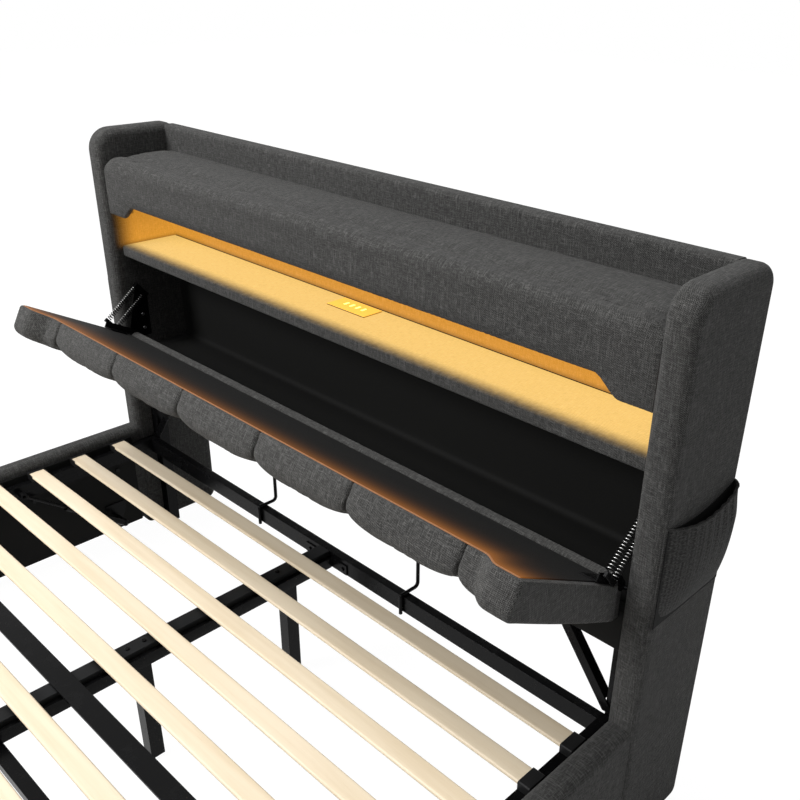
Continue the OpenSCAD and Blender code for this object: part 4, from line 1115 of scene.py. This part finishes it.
class BED_OT_flap_pad(bpy.types.Operator):
    """Makes the flap's channelled pad, swelled by a cloth simulation between its seams"""

    bl_idname = "bed.flap_pad"
    bl_label = "Flap pad"

    def execute(self, context):
        sizes = context.scene.bed_sizes
        # Stations across the bed: even ones, and closer ones in a band at each seam and end
        seam_band, end_band = 0.0095, 0.011
        even = np.linspace(-FLAP_HALF, FLAP_HALF, 281)
        even = even[(to_seam(even) > seam_band) & (FLAP_HALF - np.abs(even) > end_band)]
        near = np.array([-0.008, -0.005, -0.003, -0.0018, -0.0008, 0, 0.0008, 0.0018, 0.003, 0.005, 0.008])
        half = np.concatenate([s + near for s in SEAMS]
                              + [FLAP_HALF - np.array([0, 0.0002, 0.001, 0.002, 0.0035, 0.0065, 0.009])])
        x = np.sort(np.concatenate([even, -half, half]))
        roll = side_roll(x)
        # Each seam is tucked in by a narrow bell curve
        tuck_h, tuck_w = 0.007, 0.0026
        tuck = tuck_h * np.exp(-(to_seam(x) / tuck_w) ** 2)
        edge = flap_edge(x) - roll - (PAD_CROWN_T - pad_thickness(x)) * 0.15 - tuck * 0.7
        thick = pad_thickness(x) - roll - tuck
        slope = math.tan(TILT)
        top = LINER_T + roll * 0.2
        edge_r, front_r, rear_r, sag_h = 0.006, 0.020, 0.018, 0.0025

        def stretch(u0, h0, u1, h1, count, start=0.0):
            k = np.linspace(start, 1, count)[:, None]
            return u0 + (u1 - u0) * k, h0 + (h1 - h0) * k

        def turn(cu, ch, r, a0, a1, count):
            a = np.radians(np.linspace(a0, a1, count))[:, None]
            return cu + r * np.cos(a), ch + r * np.sin(a)

        rear_u = roll - slope * top
        low_u = -slope * thick + roll
        face = stretch(rear_u + 0.004, top, edge - edge_r, top, 44)
        lip = turn(edge - edge_r, top + edge_r, edge_r, -80, 0, 5)
        drop = stretch(edge, top + edge_r, edge, thick - front_r, 4, 0.3)
        nose = turn(edge - front_r, thick - front_r, front_r, 12, 90, 7)
        k = np.linspace(0, 1, 37)[1:, None]
        sag = sag_h * np.sin(np.pi * k)
        belly = (edge - front_r + (low_u + rear_r - edge + front_r) * k, thick + sag)
        k = np.linspace(0, 1, 6)[1:, None]
        start = (low_u + rear_r, thick)
        corner = (low_u, thick)
        finish = (low_u + rear_r * math.sin(TILT), thick - rear_r * math.cos(TILT))
        bend = tuple((1 - k) ** 2 * a + 2 * k * (1 - k) * b + k ** 2 * c for a, b, c in zip(start, corner, finish))
        rise = stretch(finish[0], finish[1], rear_u, top, 5, 0.25)
        runs = [np.broadcast_arrays(*run, x)[:2] for run in (face, lip, drop, nose, belly, bend, rise)]
        u, h = [np.concatenate([run[k] for run in runs]) for k in (0, 1)]
        rings = on_flap(x, u, -h).transpose(1, 0, 2)
        # Both ends close on the section's middle line
        ends = [on_flap(x[row], np.clip(u[:, row], 0.01, edge[row] - 0.02), -(top[row] + thick[row]) / 2)[None]
                for row in (0, -1)]
        points = np.concatenate([ends[0], rings, ends[1]])
        faces = grid_faces(*points.shape[:2], wrap=True)
        pad = add_piece("flap_padding", [(points, faces)], finish_of("flap", context), "flap",
                        ["flap_pad"], 70)
        # Held are the inner face, the hinge end, the seams and both ends
        co_x, co_y, co_z = points_of(pad.data).T
        back_y, up_z = co_y - FLAP_END_Y, co_z - FLAP_END_Z
        above = back_y * math.sin(TILT) + up_z * math.cos(TILT)
        reach = -back_y * math.cos(TILT) + up_z * math.sin(TILT)
        held = (above > -0.0045) | (to_seam(co_x) < 0.0025) | (reach < 0.012) | (np.abs(co_x) > FLAP_HALF - 0.004)
        swell(pad, held.astype(float), sizes.pad_swell, pressure=4.0, shrink=0.010)
        box_uv(pad.data)
        return {"FINISHED"}


class BED_OT_flap_lining(bpy.types.Operator):
    """Makes the flap's black inner face, with a painted amber reflection along its free edge"""

    bl_idname = "bed.flap_lining"
    bl_label = "Flap lining"

    def execute(self, context):
        inset, near, fade = 0.010, 0.003, 0.036
        welt_in, welt_w, welt_h, welt_low = 0.0075, 0.0030, 0.0013, 0.0016
        x = np.linspace(-FLAP_HALF + inset, FLAP_HALF - inset, 181)
        t = np.concatenate([np.linspace(0, 0.86, 22), np.linspace(0.88, 1, 12)])[:, None]
        far = flap_edge(x) - inset
        u = near + (far - near) * t
        # The painted reflection fades with the distance from the edge, and towards the middle of the flap
        rim = np.exp(-((far - u) / fade) ** 1.2)
        rim *= 0.55 + 0.45 * np.clip((np.abs(x) - 0.2) / 0.5, 0, 1)
        layers = np.stack([on_flap(x, u, h) for h in (0.0, -LINER_T)])
        mesh = new_mesh("flap_lining_cloth", layers, shell_faces(*u.shape), rim=np.tile(rim.ravel(), 2))
        finish_piece("flap_lining_cloth", mesh, finish_of("flap_lining", context), "flap", ["flap_liner"])
        # A thin welt between the lining and the pad, with the light strip's colour painted on it as a glow
        welt_u = flap_edge(x)[:, None] - welt_in + welt_w * np.cos(ROUND)
        rings = on_flap(x[:, None], welt_u, -welt_low + welt_h * np.sin(ROUND))
        mesh = new_mesh("flap_welt", rings, capped_faces(*rings.shape[:2]))
        finish_piece("flap_welt", mesh, finish_of("welt", context), "flap")
        from_node("flap_board", finish_of("board", context), 0.0008)
        return {"FINISHED"}


class BED_OT_springs(bpy.types.Operator):
    """Makes the coil springs of the flap"""

    bl_idname = "bed.springs"
    bl_label = "Springs"

    def execute(self, context):
        sizes = context.scene.bed_sizes
        pitch, radius, lead = 0.032, 0.0056, 0.0018
        from_yoke, both_ends = 0.006, 0.011
        out = np.array([1.0, 0, 0])
        t = np.linspace(0, 1, sizes.coils * 16 + 1)
        angle = 2 * np.pi * sizes.coils * t
        for side in ("left", "right"):
            top, foot = [sum(corners(f"spring_{end}_{side}")) / 2 for end in ("yoke", "foot")]
            foot[0] = top[0]
            length = np.linalg.norm(foot - top)
            along = (foot - top) / length
            across = np.cross(along, out)
            # The wire starts past the yoke's pin and ends before the foot's
            start, reach = from_yoke, length - both_ends
            # Each coil gets a painted glint, a bright spot, where it faces up and to the bed's foot
            facing = np.arctan2(across @ GLINT_FACING, out @ GLINT_FACING)
            glint_spot = smooth_step((np.cos(angle - facing) - 0.86) / 0.12)
            crown = glint_spot[:, None] * smooth_step((np.cos(ROUND) - 0.7) / 0.3)
            # The centre line winds round the spring's axis; the wire's ring stands square to it
            outward = np.cos(angle)[:, None] * out + np.sin(angle)[:, None] * across
            winding = (lead + (reach - 2 * lead) * t)[:, None] * along + radius * outward
            parts = []
            for k in (-0.5, 0.5):
                centre = top + along * start + across * pitch * k + winding
                tangent = unit(np.gradient(centre, axis=0))
                rings = tube(centre, outward, np.cross(tangent, outward), sizes.wire / 2)
                parts.append((rings, capped_faces(*rings.shape[:2])))
            name = f"spring_pair_{side}_wire"
            mesh = new_mesh(name, *joined(parts), crown=np.tile(crown.ravel(), 2))
            piece = finish_piece(name, mesh, finish_of("spring", context), f"spring_carrier_{side}",
                                 [f"spring_pair_{side}"], 60)
            draw = joint(f"spring_draw_{side}")
            keep = 1 - draw["range_m"][1] / reach
            tuple(top + along * start)
            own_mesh(piece)
        return {"FINISHED"}


class BED_OT_hinges(bpy.types.Operator):
    """Gives the flap's plates, arms, yokes, feet and screws their finish"""

    bl_idname = "bed.hinges"
    bl_label = "Flap hinges"

    def execute(self, context):
        steel, bright = finish_of("steel", context), finish_of("bright", context)
        for side in ("left", "right"):
            from_node(f"flap_hinge_{side}", steel, 0.0005)
            from_node(f"flap_arm_{side}", steel, 0.0005)
            from_node(f"spring_yoke_{side}", steel, 0.0014, 3)
            from_node(f"spring_foot_{side}", steel, 0.0010, 3)
        from_node("panel_screws", bright, 0.0006, 2)
        return {"FINISHED"}


# Rails, footboard and pockets


class BED_OT_rails(bpy.types.Operator):
    """Makes the upholstered side rails with their liners, the footboard and its glides"""

    bl_idname = "bed.rails"
    bl_label = "Rails and footboard"

    def execute(self, context):
        cloth = finish_of("cloth", context)
        for side in ("left", "right"):
            low, high = corners(f"side_rail_{side}")
            # The padding stands a little above the board, and its ends reach into the footboard and the wings
            high = high + [0, 0, 0.003]
            profile = board_profile(low, high, (0, 2), [0.008, 0.008, 0.018, 0.018], steps=9, side=24)
            stations = np.linspace(low[1] - 0.003, high[1] + 0.002, 70)
            piece = add_sweep(f"side_rail_{side}_padding", profile, stations, along_y, cloth,
                              "root", [f"side_rail_{side}"])
            from_node(f"rail_liner_{side}", finish_of("lining", context), 0.0008)
        low, high = corners("footboard")
        points, faces = slab(high[0] - low[0], high[2] - low[2], high[1] - low[1], [0.010, 0.010, 0.022, 0.022],
                             0.012, steps=9, side=60)
        x, z, y = points.T
        shape = np.stack([x + low[0], y + (low[1] + high[1]) / 2, z + low[2]], -1)
        piece = add_piece("footboard_padding", [(shape, faces)], cloth, "root", ["footboard"])
        from_node("floor_glides", finish_of("plastic", context), 0.002, 3)
        return {"FINISHED"}


class BED_OT_pockets(bpy.types.Operator):
    """Makes the two side pockets as gathered sheets that bulge from their seams to an open lip"""

    bl_idname = "bed.pockets"
    bl_label = "Side pockets"

    def execute(self, context):
        low, high = corners("pocket_right")
        out, thick = high[0] - low[0] - 0.003, 0.0022
        lip_slope, lip_dip, gather_h, gathers = 0.008, 0.015, 0.0011, 9
        binding_r, binding_sunk = 0.0026, 0.0012
        # a runs from the front seam to the rear one, and b from the lower seam to the lip
        a = np.concatenate([np.linspace(0, 0.92, 55), 1 - 0.08 * np.linspace(0.9, 0, 10) ** 2])[:, None]
        b = np.linspace(0, 1, 121)[None, :]
        lip = high[2] - lip_slope * (1 - a) - lip_dip * np.sin(np.pi * a) ** 0.9
        # It rises gently from its front seam and stays full almost to its rear seam
        fullness = np.where(a < 0.5, np.sin(np.pi * a) ** 0.7, np.sqrt(np.clip(1 - (2 * a - 1) ** 10, 0, 1)))
        # Fullest at four fifths of its height, with its lip drawn in towards the rear seam
        rise = np.sin(np.pi / 2 * np.clip(b / 0.8, 0, 1) ** 0.75) * (1 - 0.06 * b)
        drawn_in = 1 - 0.35 * a ** 3 * smooth_step((b - 0.7) / 0.3)
        bulge = (out + 0.006 * a) * fullness * rise * drawn_in
        gather = gather_h * np.sin(2 * np.pi * (a * gathers + 0.6 * b)) * b ** 2 * fullness
        x = HALF_W + 0.0005 + bulge + gather
        y = low[1] + a * (high[1] - low[1]) + 0 * b
        z = low[2] + b * (lip - low[2])
        sheet = np.stack([x + thick, y, z], -1)
        inner = np.stack([np.maximum(x, HALF_W), y, z], -1)
        # A black lining lies on the wing behind the pocket, up to the height of its lip; darker than the box's
        # lining, it is partly painted shade for the inside of the pocket's mouth
        lining_and_shade_sheet = np.stack([np.stack([HALF_W + k + 0 * y, y, z], -1) for k in (0.0052, 0.0036)])
        # The binding is a roll of cloth along the lip and down both seams
        path = np.concatenate([sheet[0, :-1], sheet[:, -1], sheet[-1, -2::-1]])[::2]
        tangent = unit(np.gradient(path, axis=0))
        sideways = unit(np.cross(tangent, [1.0, 0, 0]))
        binding = tube(path - [binding_sunk, 0, 0], np.cross(sideways, tangent), sideways, binding_r)
        faces = shell_faces(*y.shape)
        shapes = (("cloth", np.stack([sheet, inner]), faces, "pocket"),
                  ("binding", binding, capped_faces(*binding.shape[:2]), "piping"))
        for side in ("right", "left"):
            for label, points, polygons, finish in shapes:
                name = f"pocket_{side}_{label}"
                mesh = new_mesh(name, points if side == "right" else mirrored(points), polygons)
                stands_for = [f"pocket_{side}"] if label == "cloth" else []
                finish_piece(name, mesh, finish_of(finish, context), "root",
                                           stands_for, 60)
            layers = lining_and_shade_sheet if side == "right" else mirrored(lining_and_shade_sheet)
            add_piece(f"pocket_{side}_lining", [(layers, faces)],
                                       finish_of("pocket_shade_lining", context), "root")
        return {"FINISHED"}


# Slatted frame and lift


class BED_OT_frame_steel(bpy.types.Operator):
    """Gives the steel of the slatted frame, the posts, the braces and the lift rounded edges and powder coat"""

    bl_idname = "bed.frame_steel"
    bl_label = "Steel frame"

    def execute(self, context):
        steel = finish_of("steel", context)
        edges = {
            "head_tube": 0.002, "foot_tube": 0.002, "side_tube_left": 0.002, "side_tube_right": 0.002,
            "centre_rail": 0.0012, "cross_bars": 0.001, "frame_legs": 0.0016, "frame_bolts": 0.0008,
            "mattress_retainer": 0.0, "post_left": 0.0015, "post_right": 0.0015, "brace_left": 0.0008,
            "brace_right": 0.0008, "lift_hinge_left": 0.0008, "lift_hinge_right": 0.0008,
            "strut_brackets": 0.0008, "strut_cylinder_left": 0.0008, "strut_cylinder_right": 0.0008,
        }
        for node, bevel in edges.items():
            from_node(node, steel, bevel)
        from_node("rail_strip", finish_of("strip", context), 0.0014)
        for side in ("left", "right"):
            from_node(f"strut_rod_{side}", steel, 0.0006)
        return {"FINISHED"}


class BED_OT_slats(bpy.types.Operator):
    """Makes the bowed birch slats with rounded edges, and their end caps"""

    bl_idname = "bed.slats"
    bl_label = "Slats"

    def execute(self, context):
        width, thick, edge_r, bow = 0.040, 0.009, 0.0042, 0.005
        section = round_outline(width, thick, [edge_r] * 4, 0, steps=7, side=4)
        t = np.linspace(-1, 1, 41)[:, None]
        for node in ("slats_head", "slats_middle", "slats_foot"):
            low, high = corners(node)
            # The node's points lie at each slat's front and rear edge
            edges = np.unique(np.round(points_of(frame["nodes"][node].data)[:, 1], 4))
            parts = []
            for start in edges[::2]:
                z = low[2] + section[:, 1] + bow * (1 - t ** 2)
                rings = np.stack(np.broadcast_arrays(high[0] * t, start + section[:, 0], z), -1)
                parts.append((rings, capped_faces(*rings.shape[:2])))
            mesh = new_mesh(node + "_wood", *joined(parts))
            finish_piece(node + "_wood", mesh, finish_of("birch", context), "slatted_frame", [node], 60)
        from_node("slat_caps", finish_of("plastic", context), 0.0022, 3)
        return {"FINISHED"}


# Stage


class BED_OT_stage(bpy.types.Operator):
    """Makes the pale floor, the soft studio light and the camera"""

    bl_idname = "bed.stage"
    bl_label = "Stage"

    def execute(self, context):
        scene = context.scene
        scene.view_settings.view_transform = "Standard"
        size, below = 14.0, -0.0005
        points = [(-size, -size, below), (size, -size, below), (size, size, below), (-size, size, below)]
        mesh = bpy.data.meshes.new("floor")
        mesh.from_pydata(points, [], [[0, 1, 2, 3]])
        floor = bpy.data.objects.new("floor", mesh)
        scene.collection.objects.link(floor)
        mesh.materials.append(self.floor_material())
        self.world(scene)
        self.lamp(scene, "key", (-2.0, -3.0, 3.4), (0, 0.6, 0.6), 1.8, 230)
        self.lamp(scene, "fill", (3.2, -2.6, 2.6), (0.2, 0.6, 0.7), 1.4, 5)
        self.lamp(scene, "top", (-0.6, 0.2, 4.2), (0, 0.4, 0.4), 2.2, 115)
        self.camera(scene)
        return {"FINISHED"}

    @staticmethod
    def floor_material():
        """White floor that keeps a light shadow."""
        material = bpy.data.materials.new("floor_white")
        material.use_nodes = True
        material.node_tree.nodes.clear()
        nodes = Nodes(material.node_tree)
        matte = nodes.node("ShaderNodeBsdfDiffuse", None, {"Color": (0.86, 0.86, 0.86, 1)})
        white = nodes.node("ShaderNodeEmission", None, {"Color": (1, 1, 1, 1), "Strength": 1.08})
        mix = nodes.node("ShaderNodeMixShader", None, {0: nodes.seen() * 0.90, 1: matte, 2: white})
        nodes.node("ShaderNodeOutputMaterial", None, {"Surface": mix})
        return material

    @staticmethod
    def world(scene):
        """White to the camera and in reflections, softer as a light."""
        scene.world = bpy.data.worlds.new("studio")
        scene.world.use_nodes = True
        scene.world.node_tree.nodes.clear()
        nodes = Nodes(scene.world.node_tree)
        white = nodes.node("ShaderNodeBackground", None, {"Color": (1, 1, 1, 1)})
        light = nodes.node("ShaderNodeBackground", None, {"Color": (1, 1, 1, 1), "Strength": 0.37})
        mix = nodes.node("ShaderNodeMixShader", None, {0: nodes.seen(), 1: light, 2: white})
        nodes.node("ShaderNodeOutputWorld", None, {"Surface": mix})

    @staticmethod
    def lamp(scene, name, place, target, size, power):
        """A round area light at a place, facing a target."""
        data = bpy.data.lights.new(name, "AREA")
        data.shape = "DISK"
        data.size = size
        data.energy = power
        lamp = bpy.data.objects.new(name, data)
        lamp.location = place
        lamp.rotation_mode = "QUATERNION"
        lamp.rotation_quaternion = (Vector(target) - Vector(place)).to_track_quat("-Z", "Y")
        lamp.visible_camera = False
        scene.collection.objects.link(lamp)

    @staticmethod
    def camera(scene):
        """The photograph's viewpoint: place in metres, three turns in degrees, lens and shift for a square frame."""
        data = bpy.data.cameras.new("camera")
        data.sensor_width = 36.0
        data.lens = 41.678
        data.shift_x = -0.04751
        data.shift_y = 0.05001
        camera = bpy.data.objects.new("camera", data)
        camera.location = (1.36607, -0.14071, 1.47296)
        camera.rotation_euler = [math.radians(angle) for angle in (62.3279, -1.2563, 43.7927)]
        scene.collection.objects.link(camera)
        scene.camera = camera


class BED_PT_panel(bpy.types.Panel):
    """Lists the bed's sizes, colours and steps"""

    bl_label = "Storage bed"
    bl_idname = "BED_PT_panel"
    bl_space_type = "VIEW_3D"
    bl_region_type = "UI"
    bl_category = "Storage bed"

    def draw(self, context):
        for group in settings_of(context):
            for name in group.__annotations__:
                self.layout.prop(group, name)
        for step in STEPS:
            self.layout.operator(step.bl_idname)


STEPS = [
    BED_OT_wings, BED_OT_back, BED_OT_ledge, BED_OT_niche, BED_OT_storage_box, BED_OT_flap_pad,
    BED_OT_flap_lining, BED_OT_springs, BED_OT_hinges, BED_OT_rails, BED_OT_pockets,
    BED_OT_frame_steel, BED_OT_slats, BED_OT_stage,
]
CLASSES = [BedSizes, BedColours, *STEPS, BED_PT_panel]


def register():
    for item in CLASSES:
        bpy.utils.register_class(item)
    bpy.types.Scene.bed_sizes = PointerProperty(type=BedSizes)
    bpy.types.Scene.bed_colours = PointerProperty(type=BedColours)


def unregister():
    del bpy.types.Scene.bed_colours
    del bpy.types.Scene.bed_sizes
    for item in reversed(CLASSES):
        bpy.utils.unregister_class(item)


def main():
    register()
    for step in STEPS:
        group, name = step.bl_idname.split(".")
        if getattr(getattr(bpy.ops, group), name)() != {"FINISHED"}:
            raise RuntimeError(f"{step.bl_label} didn't finish")
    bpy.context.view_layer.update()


if __name__ == "__main__":
    main()
